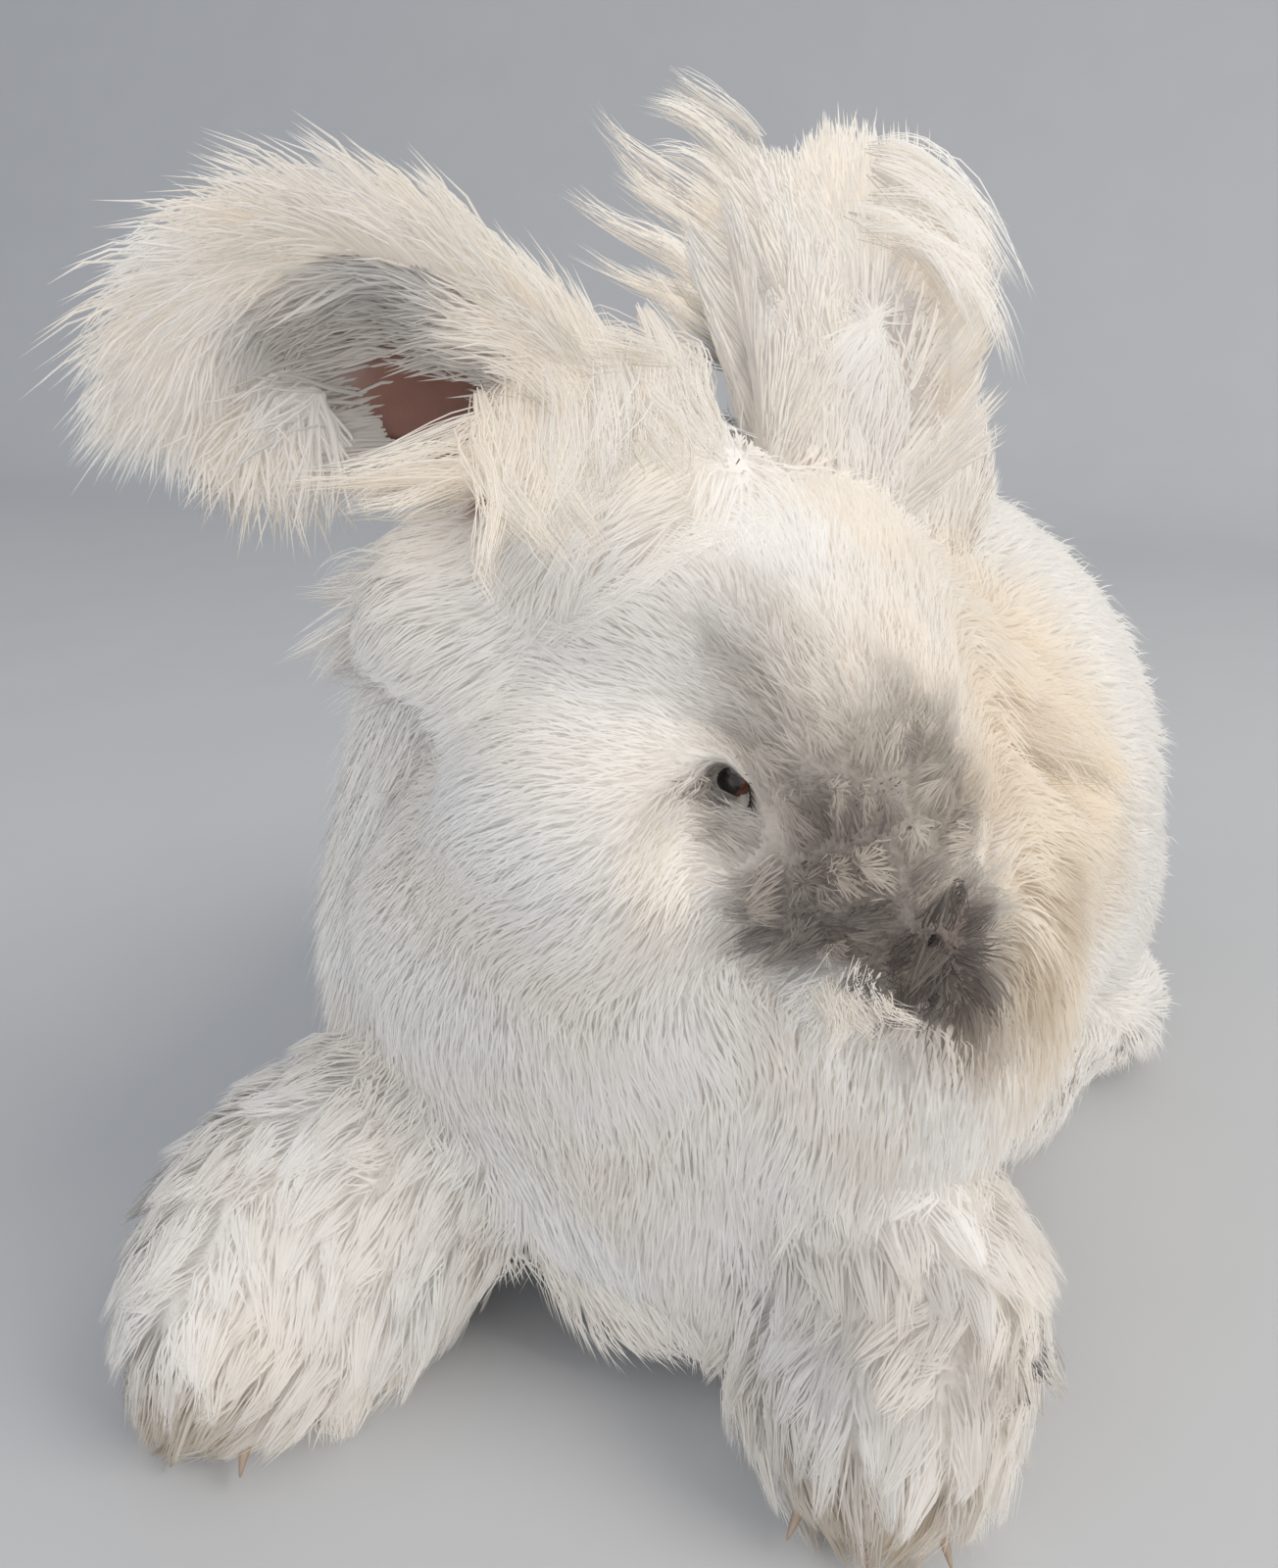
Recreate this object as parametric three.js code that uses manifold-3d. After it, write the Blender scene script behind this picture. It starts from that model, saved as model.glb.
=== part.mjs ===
// A life-size angora rabbit sitting on its four feet, its head turned to its left, one ear
// upright and one held out sideways. Millimetres, +Z up. The body faces -Y and +X is its left.
// The origin lies on the floor, under the middle of the whole animal.
import * as THREE from "three";
import { mergeVertices } from "three/addons/utils/BufferGeometryUtils.js";
import Module from "manifold-3d";

const wasm = await Module();
wasm.setup();

// Depth of the wool from the skin to its tips.
const WOOL_BODY = 44;
const WOOL_NECK = 46;
const WOOL_CHEEK = 36;
const WOOL_LEG = 24;
const WOOL_TAIL = 18;

// The trunk without its wool: where it starts and ends, and its arched back.
const TRUNK_FRONT = -70;
const TRUNK_REAR = 116;
const TRUNK_HALF_WIDTH = 70;
const TRUNK_CENTRE_HEIGHT = 101;
const TRUNK_RISE = 62;
const TRUNK_DROP = 46;

// The head: its middle, how far it is turned and tipped, and the parts of its face.
const HEAD_AT = new THREE.Vector3(20, -76, 148);
const HEAD_TURN_DEG = 55;
const HEAD_TIP_DEG = 26;
const HEAD_HALF_WIDTH = 26;
const NOSE_REACH = 60;
const HEAD_BACK_REACH = 34;
const EYE_RADIUS = 8;
const EYE_FORWARD = 14;
const EYE_SPREAD = 19.5;
const EYE_RISE = 9;
const CHEEK_AHEAD_LEFT = 27;
const CHEEK_AHEAD_RIGHT = 2;
const LID_THICKNESS = 1.8;
const LID_OPENING = [7.6, 13, 5.4];
const NOSE_RADII = [8, 8.5, 8];
const WHISKER_PAD_RADII = [13, 10, 9.5];
const WHISKER_PAD_SPREAD = 8;
const CHIN_RADII = [13, 10, 7];
const MOUTH_LINE_RADII = [17, 18, 1.2];
const LIP_CLEFT_RADII = [7, 1, 8];
const NOSTRIL_RADII = [5, 1.3, 2.8];
const NOSTRIL_SPREAD = 4.5;

// The ears.
const EAR_HALF_WIDTH = 23;
const EAR_CUP_DEPTH = 15;
const EAR_THICKNESS = 4;
const EAR_FULLNESS = [0.9, 1, 1.05, 0.9, 0.8];
const EAR_DROOP = 0.12;

// Rows of locks on an ear: where they grow, from 1 at the root to -1 at the tip, their
// length, their places across the ear and how far they lean towards the tip.
const EAR_LOCK_HALF_WIDTH = 13.5;
const EAR_ROWS = [
  { at: 0.6, reach: 27, across: [-1, -0.3, 0.3, 1], lean: 1 },
  { at: 0.1, reach: 28, across: [-1, -0.35, 0.35, 1], lean: 1.1 },
  { at: -0.4, reach: 30, across: [-1, -0.35, 0.35, 1], lean: 1.2 },
  { at: -0.85, reach: 31, across: [-1, -0.35, 0.35, 1], lean: 1.3 },
];

// The legs, with the place on the floor under the toes of each forefoot.
const TOES_LEFT = new THREE.Vector3(60, -126, 0);
const TOES_RIGHT = new THREE.Vector3(-78, -151, 0);
const FORELEG_RADIUS = 14;
const HAUNCH_RADIUS = 34;
const HIND_FOOT_RADIUS = 11;

// Clearance between touching pieces, the smallest detail of their wool, and the smallest
// detail of the surfaces trimmed to that clearance.
const GAP = 0.35;
const FINEST_DETAIL = 0.3;
const FINEST_TRIM = 0.02;

// Shares of the wool's depth: what the solid core fills, where locks root and bend, and
// the depth at which one part's wool counts as covering another's.
const CORE_DEPTH = 0.5;
const ROOT_DEPTH = 0.25;
const BEND_DEPTH = 0.92;
const COVER_DEPTH = 0.8;

// The shape of a lock, how far its wool keeps off the floor, and the lowest one there is.
const LOCK_SIDES = 3;
const LOCK_BENDS = 2;
const LOCK_SPREAD = 1.15;
const LOCK_FULLNESS = [0.75, 1, 0.5];
const LOCK_FLOOR = 1.2;
const LOW_LOCK = 7;
const PROBE_RADIUS = 0.5;

// How far the locks of the face and of the bib keep from the eyes and from the nose.
const FACE_CLEARING = { eyes: 13, nose: 21 };
const BIB_CLEARING = { eyes: 34, nose: 38 };

const CLAW_RADIUS = 2.2;
const CLAW_PLACES = [-0.4, 0, 0.4];

// The lie of the wool on each form, and the size of its locks.
const BODY_LOCKS = {
  spacing: 50, length: 62, halfWidth: 23, thickness: 8, lie: new THREE.Vector3(0, -0.8, -0.55),
};
const BIB_LOCKS = {
  spacing: 44, length: 54, halfWidth: 20, thickness: 8, lie: new THREE.Vector3(0, 1, 0.05),
};
const FACE_LOCKS = {
  spacing: 31, length: 38, halfWidth: 14, thickness: 5, lie: new THREE.Vector3(0, -1, -0.15),
};
const CHEEK_LOCKS = {
  spacing: 34, length: 34, halfWidth: 15, thickness: 5.5, lie: new THREE.Vector3(0, -0.8, -0.6),
};
const LEG_LOCKS = {
  spacing: 40, length: 44, halfWidth: 18, thickness: 6.5, lie: new THREE.Vector3(0, -1, -0.3),
};
const HAUNCH_LOCKS = {
  spacing: 52, length: 54, halfWidth: 22, thickness: 8, lie: new THREE.Vector3(0, -0.7, -0.6),
};
const FOOT_LOCKS = {
  spacing: 50, length: 40, halfWidth: 19, thickness: 7, lie: new THREE.Vector3(0, 0.9, -0.2),
};
const TAIL_LOCKS = {
  spacing: 38, length: 34, halfWidth: 15, thickness: 6, lie: new THREE.Vector3(0, -0.9, 0.2),
};

const UP = new THREE.Vector3(0, 0, 1);
const AHEAD = new THREE.Vector3(0, -1, 0);
const radians = THREE.MathUtils.degToRad;

// The head's own directions: out of the nose, to its left side and to its crown.
const headTurn = new THREE.Matrix4()
  .makeRotationZ(radians(HEAD_TURN_DEG))
  .multiply(new THREE.Matrix4().makeRotationX(radians(HEAD_TIP_DEG)));
const HEAD_AHEAD = AHEAD.clone().transformDirection(headTurn);
const HEAD_CROWN = UP.clone().transformDirection(headTurn);
const HEAD_LEFT = new THREE.Vector3(1, 0, 0).transformDirection(headTurn);

// A point given in the head's own directions.
function inHead(ahead, left, crown) {
  return HEAD_AT.clone()
    .addScaledVector(HEAD_AHEAD, ahead)
    .addScaledVector(HEAD_LEFT, left)
    .addScaledVector(HEAD_CROWN, crown);
}

// The value of a short list of sizes, spread evenly from 0 to 1, at a place between them.
function along(sizes, place) {
  if (typeof sizes === "number") return sizes;
  const step = THREE.MathUtils.clamp(place, 0, 1) * (sizes.length - 1);
  const index = Math.min(Math.floor(step), sizes.length - 2);
  const part = step - index;
  const eased = part * part * (3 - 2 * part);
  return THREE.MathUtils.lerp(sizes[index], sizes[index + 1], eased);
}

// A closed solid from a three.js geometry whose vertices have been moved into place.
function solidOf(geometry) {
  geometry.deleteAttribute("normal");
  geometry.deleteAttribute("uv");
  const merged = mergeVertices(geometry, 1e-4);
  const vertProperties = new Float32Array(merged.attributes.position.array);
  const triVerts = new Uint32Array(merged.index.array);
  const mesh = new wasm.Mesh({ numProp: 3, vertProperties, triVerts });
  mesh.merge();
  const solid = new wasm.Manifold(mesh);
  if (solid.volume() > 0) return solid;
  for (let corner = 0; corner < triVerts.length; corner += 3) {
    const second = triVerts[corner + 1];
    triVerts[corner + 1] = triVerts[corner + 2];
    triVerts[corner + 2] = second;
  }
  return new wasm.Manifold(new wasm.Mesh({ numProp: 3, vertProperties, triVerts }));
}

// Moves every vertex of a geometry with a function of its place.
function moved(geometry, place) {
  const position = geometry.attributes.position;
  const vertex = new THREE.Vector3();
  for (let index = 0; index < position.count; index += 1) {
    vertex.fromBufferAttribute(position, index);
    const target = place(vertex);
    position.setXYZ(index, target.x, target.y, target.z);
  }
  return geometry;
}

// A body part: a bent spine with a skin around it and wool that stands on the skin. Its
// cross-section has one size to both sides, one towards its top and one towards its bottom.
class Form {
  constructor({ path, top, side, rise, drop, wool, floor = 0, segments, rings, bare = [] }) {
    this.curve = new THREE.CatmullRomCurve3(path);
    this.topward = top;
    this.side = side;
    this.rise = rise;
    this.drop = drop;
    this.wool = wool;
    this.floor = floor;
    this.segments = segments;
    this.rings = rings;
    this.bare = bare;
  }

  // The share of wool left at a place on the skin, less close to the form's bare spots.
  woolShare(skin) {
    return this.bare.reduce((share, spot) => {
      const away = skin.distanceTo(spot.at) / spot.reach;
      return share * (1 - spot.strength * Math.exp(-away * away));
    }, 1);
  }

  // The place at a direction from the form's middle, with a given depth of wool on the skin.
  onLayer(direction, wool) {
    const place = (1 - direction.y) / 2;
    const tangent = this.curve.getTangent(place);
    const sideways = tangent.clone().cross(this.topward).normalize();
    const topward = sideways.clone().cross(tangent).normalize();
    const size = along(direction.z > 0 ? this.rise : this.drop, place) + wool;
    return this.curve.getPoint(place)
      .addScaledVector(tangent, -direction.y * wool)
      .addScaledVector(sideways, direction.x * (along(this.side, place) + wool))
      .addScaledVector(topward, direction.z * size);
  }

  // The place at a direction from the form's middle, at a depth from 0 (skin) to 1 (tips).
  at(direction, depth, grow = 0) {
    const share = this.bare.length ? this.woolShare(this.onLayer(direction, 0)) : 1;
    const wool = along(this.wool, (1 - direction.y) / 2) * depth * share;
    const point = this.onLayer(direction, wool + grow);
    point.z = Math.max(point.z, this.floor);
    return point;
  }

  solid(depth, grow = 0) {
    const sphere = new THREE.SphereGeometry(1, this.segments, this.rings);
    return solidOf(moved(sphere, (vertex) => this.at(vertex, depth, grow)));
  }
}

// An ellipsoid with its radii along three given directions.
function ellipsoid(centre, axes, radii, grow = 0, segments = 10, rings = 7) {
  const sphere = new THREE.SphereGeometry(1, segments, rings);
  return solidOf(moved(sphere, (vertex) => centre.clone()
    .addScaledVector(axes[0], vertex.x * (radii[0] + grow))
    .addScaledVector(axes[1], vertex.y * (radii[1] + grow))
    .addScaledVector(axes[2], vertex.z * (radii[2] + grow))));
}

function headEllipsoid(ahead, left, crown, radii, grow = 0) {
  const axes = [HEAD_AHEAD, HEAD_LEFT, HEAD_CROWN];
  return ellipsoid(inHead(ahead, left, crown), axes, radii, grow);
}

const trunk = new Form({
  path: [
    new THREE.Vector3(0, TRUNK_FRONT, TRUNK_CENTRE_HEIGHT - 8),
    new THREE.Vector3(0, TRUNK_FRONT * 0.3, TRUNK_CENTRE_HEIGHT + 1),
    new THREE.Vector3(0, TRUNK_REAR * 0.4, TRUNK_CENTRE_HEIGHT),
    new THREE.Vector3(0, TRUNK_REAR, TRUNK_CENTRE_HEIGHT - 12),
  ],
  top: UP,
  side: [TRUNK_HALF_WIDTH * 0.8, TRUNK_HALF_WIDTH * 0.9, TRUNK_HALF_WIDTH, TRUNK_HALF_WIDTH * 1.04],
  rise: [TRUNK_RISE * 0.8, TRUNK_RISE * 0.92, TRUNK_RISE, TRUNK_RISE * 0.98],
  drop: TRUNK_DROP,
  wool: WOOL_BODY,
  floor: 5,
  segments: 16,
  rings: 10,
});

const bib = new Form({
  path: [
    new THREE.Vector3(8, -90, 54),
    new THREE.Vector3(0, -78, 92),
    new THREE.Vector3(-8, -65, 130),
    new THREE.Vector3(-22, -59, 178),
  ],
  top: AHEAD,
  side: [48, 56, 47, 46],
  rise: [10, 10, 0, -6],
  drop: [14, 20, 22, 16],
  wool: [42, 44, WOOL_NECK, 40],
  floor: 8,
  segments: 14,
  rings: 9,
});

const eyeSpots = [-1, 1].map((side) => ({
  at: inHead(EYE_FORWARD + 1, side * (EYE_SPREAD + EYE_RADIUS), EYE_RISE),
  reach: 15,
  strength: 1.02,
}));

const skull = new Form({
  path: [
    inHead(NOSE_REACH, 0, -6),
    inHead(NOSE_REACH * 0.5, 0, -4),
    inHead(0, 0, 0),
    inHead(-HEAD_BACK_REACH, 0, 4),
  ],
  top: HEAD_CROWN,
  side: [15, HEAD_HALF_WIDTH * 0.84, HEAD_HALF_WIDTH, HEAD_HALF_WIDTH * 0.9],
  rise: [13, 19, 24, 22],
  drop: [13, 19, 25, 22],
  wool: [4, 12, 24, WOOL_CHEEK, 28],
  segments: 16,
  rings: 14,
  bare: eyeSpots,
});

// The wool of each cheek, pushed forward on the left by the shoulder behind it.
function cheek(side) {
  const ahead = side > 0 ? CHEEK_AHEAD_LEFT : CHEEK_AHEAD_RIGHT;
  return new Form({
    path: [
      inHead(ahead + 14, side * 36, -8),
      inHead(ahead, side * 39, -13),
      inHead(ahead - 14, side * 38, -17),
    ],
    top: HEAD_CROWN,
    side: 17,
    rise: 15,
    drop: 16,
    wool: 19,
    segments: 9,
    rings: 7,
  });
}

const cheekLeft = cheek(1);
const cheekRight = cheek(-1);

// The blunt end of the muzzle: nose, whisker pads, and the chin under the line of the mouth.
function muzzle(grow) {
  const padAhead = NOSE_REACH - 10;
  return [
    headEllipsoid(NOSE_REACH - 4, 0, -1, NOSE_RADII, grow),
    headEllipsoid(padAhead, WHISKER_PAD_SPREAD, -10, WHISKER_PAD_RADII, grow),
    headEllipsoid(padAhead, -WHISKER_PAD_SPREAD, -10, WHISKER_PAD_RADII, grow),
    headEllipsoid(NOSE_REACH - 18, 0, -21, CHIN_RADII, grow),
  ];
}

// A lid around each eyeball, thicker than the ball by its own skin.
function lid(side, grow) {
  const radius = EYE_RADIUS + GAP + LID_THICKNESS;
  return headEllipsoid(EYE_FORWARD, side * EYE_SPREAD, EYE_RISE, [radius, radius, radius], grow);
}

// What is cut out of the face: the slit between the lids, the nostrils, the cleft of the
// upper lip and the line of the mouth.
function faceCuts() {
  const cuts = [
    headEllipsoid(NOSE_REACH + 2, 0, -8, LIP_CLEFT_RADII),
    headEllipsoid(NOSE_REACH - 13, 0, -17, MOUTH_LINE_RADII),
  ];
  for (const side of [-1, 1]) {
    const slitAt = side * (EYE_SPREAD + EYE_RADIUS);
    cuts.push(headEllipsoid(EYE_FORWARD, slitAt, EYE_RISE, LID_OPENING));
    cuts.push(headEllipsoid(NOSE_REACH + 3, side * NOSTRIL_SPREAD, 0, NOSTRIL_RADII));
  }
  return cuts;
}

// One foreleg from its elbow to its toes; side is 1 for the left leg and -1 for the right.
function foreleg(side, toe) {
  const elbow = new THREE.Vector3(side * 42, -84, 54);
  const wrist = toe.clone().add(new THREE.Vector3(-side * 4, 22, 25));
  const knee = elbow.clone().lerp(wrist, 0.5).setZ(40);
  return new Form({
    path: [elbow, knee, wrist, toe.clone().setZ(22)],
    top: UP,
    side: [FORELEG_RADIUS, FORELEG_RADIUS, FORELEG_RADIUS * 1.1, FORELEG_RADIUS * 1.2],
    rise: FORELEG_RADIUS * 1.5,
    drop: FORELEG_RADIUS,
    wool: WOOL_LEG,
    segments: 10,
    rings: 8,
  });
}

const legLeft = foreleg(1, TOES_LEFT);
const legRight = foreleg(-1, TOES_RIGHT);

function haunch(side) {
  return new Form({
    path: [
      new THREE.Vector3(side * 58, 36, 50),
      new THREE.Vector3(side * 68, 66, 62),
      new THREE.Vector3(side * 68, 96, 60),
      new THREE.Vector3(side * 60, 124, 48),
    ],
    top: UP,
    side: HAUNCH_RADIUS * 0.65,
    rise: HAUNCH_RADIUS,
    drop: HAUNCH_RADIUS,
    wool: WOOL_LEG,
    segments: 10,
    rings: 7,
  });
}

function hindFoot(side) {
  return new Form({
    path: [
      new THREE.Vector3(side * 70, 4, 15),
      new THREE.Vector3(side * 72, 40, 17),
      new THREE.Vector3(side * 70, 84, 17),
      new THREE.Vector3(side * 66, 116, 20),
    ],
    top: UP,
    side: HIND_FOOT_RADIUS,
    rise: HIND_FOOT_RADIUS,
    drop: HIND_FOOT_RADIUS,
    wool: WOOL_LEG * 0.7,
    segments: 9,
    rings: 6,
  });
}

const tailForm = new Form({
  path: [
    new THREE.Vector3(0, 138, 74),
    new THREE.Vector3(0, 154, 88),
    new THREE.Vector3(0, 160, 108),
  ],
  top: new THREE.Vector3(0, 1, 0),
  side: 10,
  rise: 7,
  drop: 7,
  wool: WOOL_TAIL,
  segments: 9,
  rings: 6,
});

// An ear: a scoop that narrows at its root and its tip, cupped towards the way it faces.
class Ear {
  constructor({ path, facing }) {
    this.curve = new THREE.CatmullRomCurve3(path);
    this.facing = facing.normalize();
  }

  // The place on the ear at a direction: x across it, y towards its root, z into its cup.
  at(direction, grow = 0) {
    const place = (1 - direction.y) / 2;
    const tangent = this.curve.getTangent(place);
    const across = tangent.clone().cross(this.facing).normalize();
    const inward = across.clone().cross(tangent).normalize();
    const spread = EAR_HALF_WIDTH * along(EAR_FULLNESS, place) + grow;
    const cup = EAR_CUP_DEPTH * direction.x * direction.x;
    return this.curve.getPoint(place)
      .addScaledVector(tangent, -direction.y * grow)
      .addScaledVector(across, direction.x * spread)
      .addScaledVector(inward, cup + direction.z * (EAR_THICKNESS + grow));
  }

  solid(grow) {
    const sphere = new THREE.SphereGeometry(1, 12, 9);
    return solidOf(moved(sphere, (vertex) => this.at(vertex, grow)));
  }

  // Long locks that leave the back, both rims and the tip, and a woolly muff at the root.
  locks() {
    const found = [];
    for (const { at, reach, across, lean } of EAR_ROWS) {
      for (const x of across) {
        const y = at + chance(-0.06, 0.06);
        const ring = Math.sqrt(1 - y * y);
        const place = (1 - y) / 2;
        const tangent = this.curve.getTangent(place);
        const sideways = tangent.clone().cross(this.facing).normalize();
        const behind = tangent.clone().cross(sideways).normalize();
        const rimward = Math.sqrt(Math.max(1 - x * x, 0.04));
        const root = this.at(new THREE.Vector3(x * ring * 0.78, y, -ring * 0.8));
        const outward = sideways.multiplyScalar(x).addScaledVector(behind, rimward * 0.8).normalize();
        const length = reach * chance(0.9, 1.15);
        const bend = root.clone()
          .addScaledVector(outward, length * 0.34)
          .addScaledVector(tangent, length * lean * 0.4);
        const tip = bend.clone()
          .addScaledVector(outward, length * 0.1)
          .addScaledVector(tangent, length * lean * 0.5)
          .add(new THREE.Vector3(0, 0, -EAR_DROOP * length));
        found.push({ root, bend, tip, back: behind, halfWidth: EAR_LOCK_HALF_WIDTH, thickness: 5 });
      }
    }
    return found;
  }
}

const earRight = new Ear({
  path: [
    new THREE.Vector3(-2, -78, 182),
    new THREE.Vector3(-27, -86, 213),
    new THREE.Vector3(-52, -96, 232),
    new THREE.Vector3(-75, -106, 232),
    new THREE.Vector3(-86, -112, 214),
  ],
  facing: new THREE.Vector3(0.35, -0.75, -0.55),
});

const earLeft = new Ear({
  path: [
    new THREE.Vector3(16, -52, 176),
    new THREE.Vector3(23, -44, 206),
    new THREE.Vector3(19, -34, 236),
    new THREE.Vector3(8, -24, 260),
  ],
  facing: new THREE.Vector3(0.45, -0.85, 0),
});

function eyeball(side, grow = 0) {
  const centre = inHead(EYE_FORWARD, side * EYE_SPREAD, EYE_RISE);
  const radii = [EYE_RADIUS, EYE_RADIUS, EYE_RADIUS];
  return ellipsoid(centre, [HEAD_AHEAD, HEAD_LEFT, HEAD_CROWN], radii, grow, 12, 9);
}

// One lock of wool: three-sided, flat underneath, bent along its own curve and narrowing to
// a point. It is given by its root, its bend and its tip, and by the way its back faces.
function lockSolid({ root, bend, tip, back, halfWidth, thickness }, grow) {
  const curve = new THREE.QuadraticBezierCurve3(root, bend, tip);
  const cone = new THREE.ConeGeometry(1, 1, LOCK_SIDES, LOCK_BENDS);
  return solidOf(moved(cone, (vertex) => {
    const reach = vertex.y + 0.5;
    const ring = Math.max(1 - reach, 1e-6);
    const tangent = curve.getTangent(reach);
    const across = tangent.clone().cross(back).normalize();
    const outward = across.clone().cross(tangent).normalize();
    const fullness = reach > 0.999 ? 0 : along(LOCK_FULLNESS, reach);
    const wide = (halfWidth * fullness + grow) / ring;
    const thick = (thickness * fullness + grow) / ring;
    const point = curve.getPoint(reach)
      .addScaledVector(tangent, (reach * 3 - 1) * grow)
      .addScaledVector(across, vertex.x * wide * LOCK_SPREAD)
      .addScaledVector(outward, vertex.z * thick);
    point.z = Math.max(point.z, LOCK_FLOOR);
    return point;
  }));
}

// Seeded chance, so that every build gives the same wool.
let seed = 20;
function chance(low, high) {
  seed = (seed * 16807) % 2147483647;
  return low + (high - low) * (seed / 2147483647);
}

// Locks spread evenly over a form in staggered rows. The lie is the way they run, in the
// form's own directions: to its side, towards the start of its spine and to its top.
function locksOn(form, { spacing, length, halfWidth, thickness, lie }) {
  const found = [];
  const reach = form.curve.getLength() / 2 + along(form.wool, 0.5);
  const rows = Math.round((Math.PI * reach) / spacing);
  for (let row = 0; row < rows; row += 1) {
    const latitude = (Math.PI * (row + 0.5)) / rows;
    const middle = (1 - Math.cos(latitude)) / 2;
    const girth = along(form.side, middle) + along(form.wool, middle);
    const count = Math.max(3, Math.round((2 * Math.PI * girth * Math.sin(latitude)) / spacing));
    for (let index = 0; index < count; index += 1) {
      const angle = ((index + 0.5 * (row % 2) + chance(-0.15, 0.15)) * 2 * Math.PI) / count;
      const tilt = latitude + chance(-0.1, 0.1) / rows;
      const direction = new THREE.Vector3(
        Math.cos(angle) * Math.sin(tilt),
        Math.cos(tilt),
        Math.sin(angle) * Math.sin(tilt),
      );
      const stretch = (length * chance(0.85, 1.2)) / (reach + girth);
      const far = direction.clone().addScaledVector(lie, 2 * stretch).normalize();
      const near = direction.clone().addScaledVector(lie, 0.8 * stretch).normalize();
      const root = form.at(direction, ROOT_DEPTH);
      const bend = form.at(near, BEND_DEPTH);
      const tip = form.at(far, chance(0.94, 1.04));
      const back = bend.clone().sub(root).normalize();
      const size = chance(0.88, 1.12);
      found.push({ root, bend, tip, back, halfWidth: halfWidth * size, thickness: thickness * size });
    }
  }
  return found;
}

function joined(solids) {
  return solids.reduce((whole, solid) => whole.add(solid));
}

// True where a point lies inside a solid.
function holds(solid, point) {
  const axes = [new THREE.Vector3(1, 0, 0), new THREE.Vector3(0, 1, 0), UP];
  const probe = ellipsoid(point, axes, [PROBE_RADIUS, PROBE_RADIUS, PROBE_RADIUS], 0, 4, 2);
  return probe.intersect(solid).volume() > 0;
}

// Keeps the locks that hide neither an eye nor the end of the muzzle.
function clearOfFace(locks, { eyes, nose }) {
  const spots = [[inHead(NOSE_REACH, 0, -8), nose], ...eyeSpots.map(({ at }) => [at, eyes])];
  return locks.filter(({ root, bend, tip }) => spots.every(([at, reach]) => (
    [root, bend, tip].every((point) => point.distanceTo(at) > reach)
  )));
}

// The tips of the front claws, which just show below the wool of the toes.
function claws(form) {
  return CLAW_PLACES.map((across) => {
    const toes = new THREE.Vector3(across, -0.92, -0.38).normalize();
    const root = form.at(toes, 0.4);
    const bend = form.at(toes, 0.95);
    const tip = form.at(toes, 1.08).add(new THREE.Vector3(0, 0, -2));
    return { root, bend, tip, back: UP, halfWidth: CLAW_RADIUS, thickness: CLAW_RADIUS };
  });
}

// Every node in order of rank: each is cut clear of the ones before it.
const plans = [
  {
    name: "eye_left",
    colour: 0x2a1512,
    roughness: 0.12,
    core: (grow) => [eyeball(1, grow)],
  },
  {
    name: "eye_right",
    colour: 0x2a1512,
    roughness: 0.12,
    core: (grow) => [eyeball(-1, grow)],
  },
  {
    name: "head",
    colour: 0xe6dfd8,
    core: (grow) => [
      skull.solid(CORE_DEPTH, grow),
      cheekLeft.solid(CORE_DEPTH, grow),
      cheekRight.solid(CORE_DEPTH, grow),
      lid(1, grow),
      lid(-1, grow),
      ...muzzle(grow),
    ],
    cuts: faceCuts(),
    forms: [skull, cheekLeft, cheekRight],
    locks: () => clearOfFace([
      ...locksOn(skull, FACE_LOCKS),
      ...locksOn(cheekLeft, CHEEK_LOCKS),
      ...locksOn(cheekRight, CHEEK_LOCKS),
    ], FACE_CLEARING),
  },
  {
    name: "ear_left",
    colour: 0xe9e2d8,
    core: (grow) => [earLeft.solid(grow)],
    locks: () => earLeft.locks(),
  },
  {
    name: "ear_right",
    colour: 0xe2dad2,
    core: (grow) => [earRight.solid(grow)],
    locks: () => earRight.locks(),
  },
  {
    name: "neck",
    colour: 0xf2efea,
    forms: [bib],
    core: (grow) => [bib.solid(CORE_DEPTH, grow)],
    locks: () => clearOfFace(locksOn(bib, BIB_LOCKS), BIB_CLEARING),
  },
  {
    name: "foreleg_left",
    colour: 0xe4dcd2,
    forms: [legLeft],
    core: (grow) => [legLeft.solid(CORE_DEPTH, grow)],
    locks: () => [...locksOn(legLeft, LEG_LOCKS), ...claws(legLeft)],
  },
  {
    name: "foreleg_right",
    colour: 0xece6de,
    forms: [legRight],
    core: (grow) => [legRight.solid(CORE_DEPTH, grow)],
    locks: () => [...locksOn(legRight, LEG_LOCKS), ...claws(legRight)],
  },
  ...[["left", 1], ["right", -1]].map(([name, side]) => {
    const thigh = haunch(side);
    const foot = hindFoot(side);
    return {
      name: `hind_leg_${name}`,
      colour: 0xebe7e2,
      forms: [thigh, foot],
      core: (grow) => [thigh.solid(CORE_DEPTH, grow), foot.solid(CORE_DEPTH, grow)],
      locks: () => [...locksOn(thigh, HAUNCH_LOCKS), ...locksOn(foot, FOOT_LOCKS)],
    };
  }),
  {
    name: "tail",
    colour: 0xf2efea,
    forms: [tailForm],
    core: (grow) => [tailForm.solid(CORE_DEPTH, grow)],
    locks: () => locksOn(tailForm, TAIL_LOCKS),
  },
  {
    name: "torso",
    colour: 0xf0eeec,
    forms: [trunk],
    core: (grow) => [trunk.solid(CORE_DEPTH, grow)],
    locks: () => locksOn(trunk, BODY_LOCKS),
  },
];

for (const plan of plans) {
  plan.coreSolid = joined(plan.core(0));
  plan.coverSolid = joined([plan.coreSolid, ...(plan.forms ?? []).map((form) => form.solid(COVER_DEPTH))]);
}

// Locks that would stand inside another part's wool or lie flat on the floor are left out.
function openLocks(plan) {
  const others = plans.filter((other) => other !== plan);
  return plan.locks().filter(({ bend, tip }) => (
    bend.z > LOW_LOCK && !others.some(({ coreSolid, coverSolid }) => (
      holds(coverSolid, bend) || holds(coreSolid, tip)
    ))
  ));
}

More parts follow.
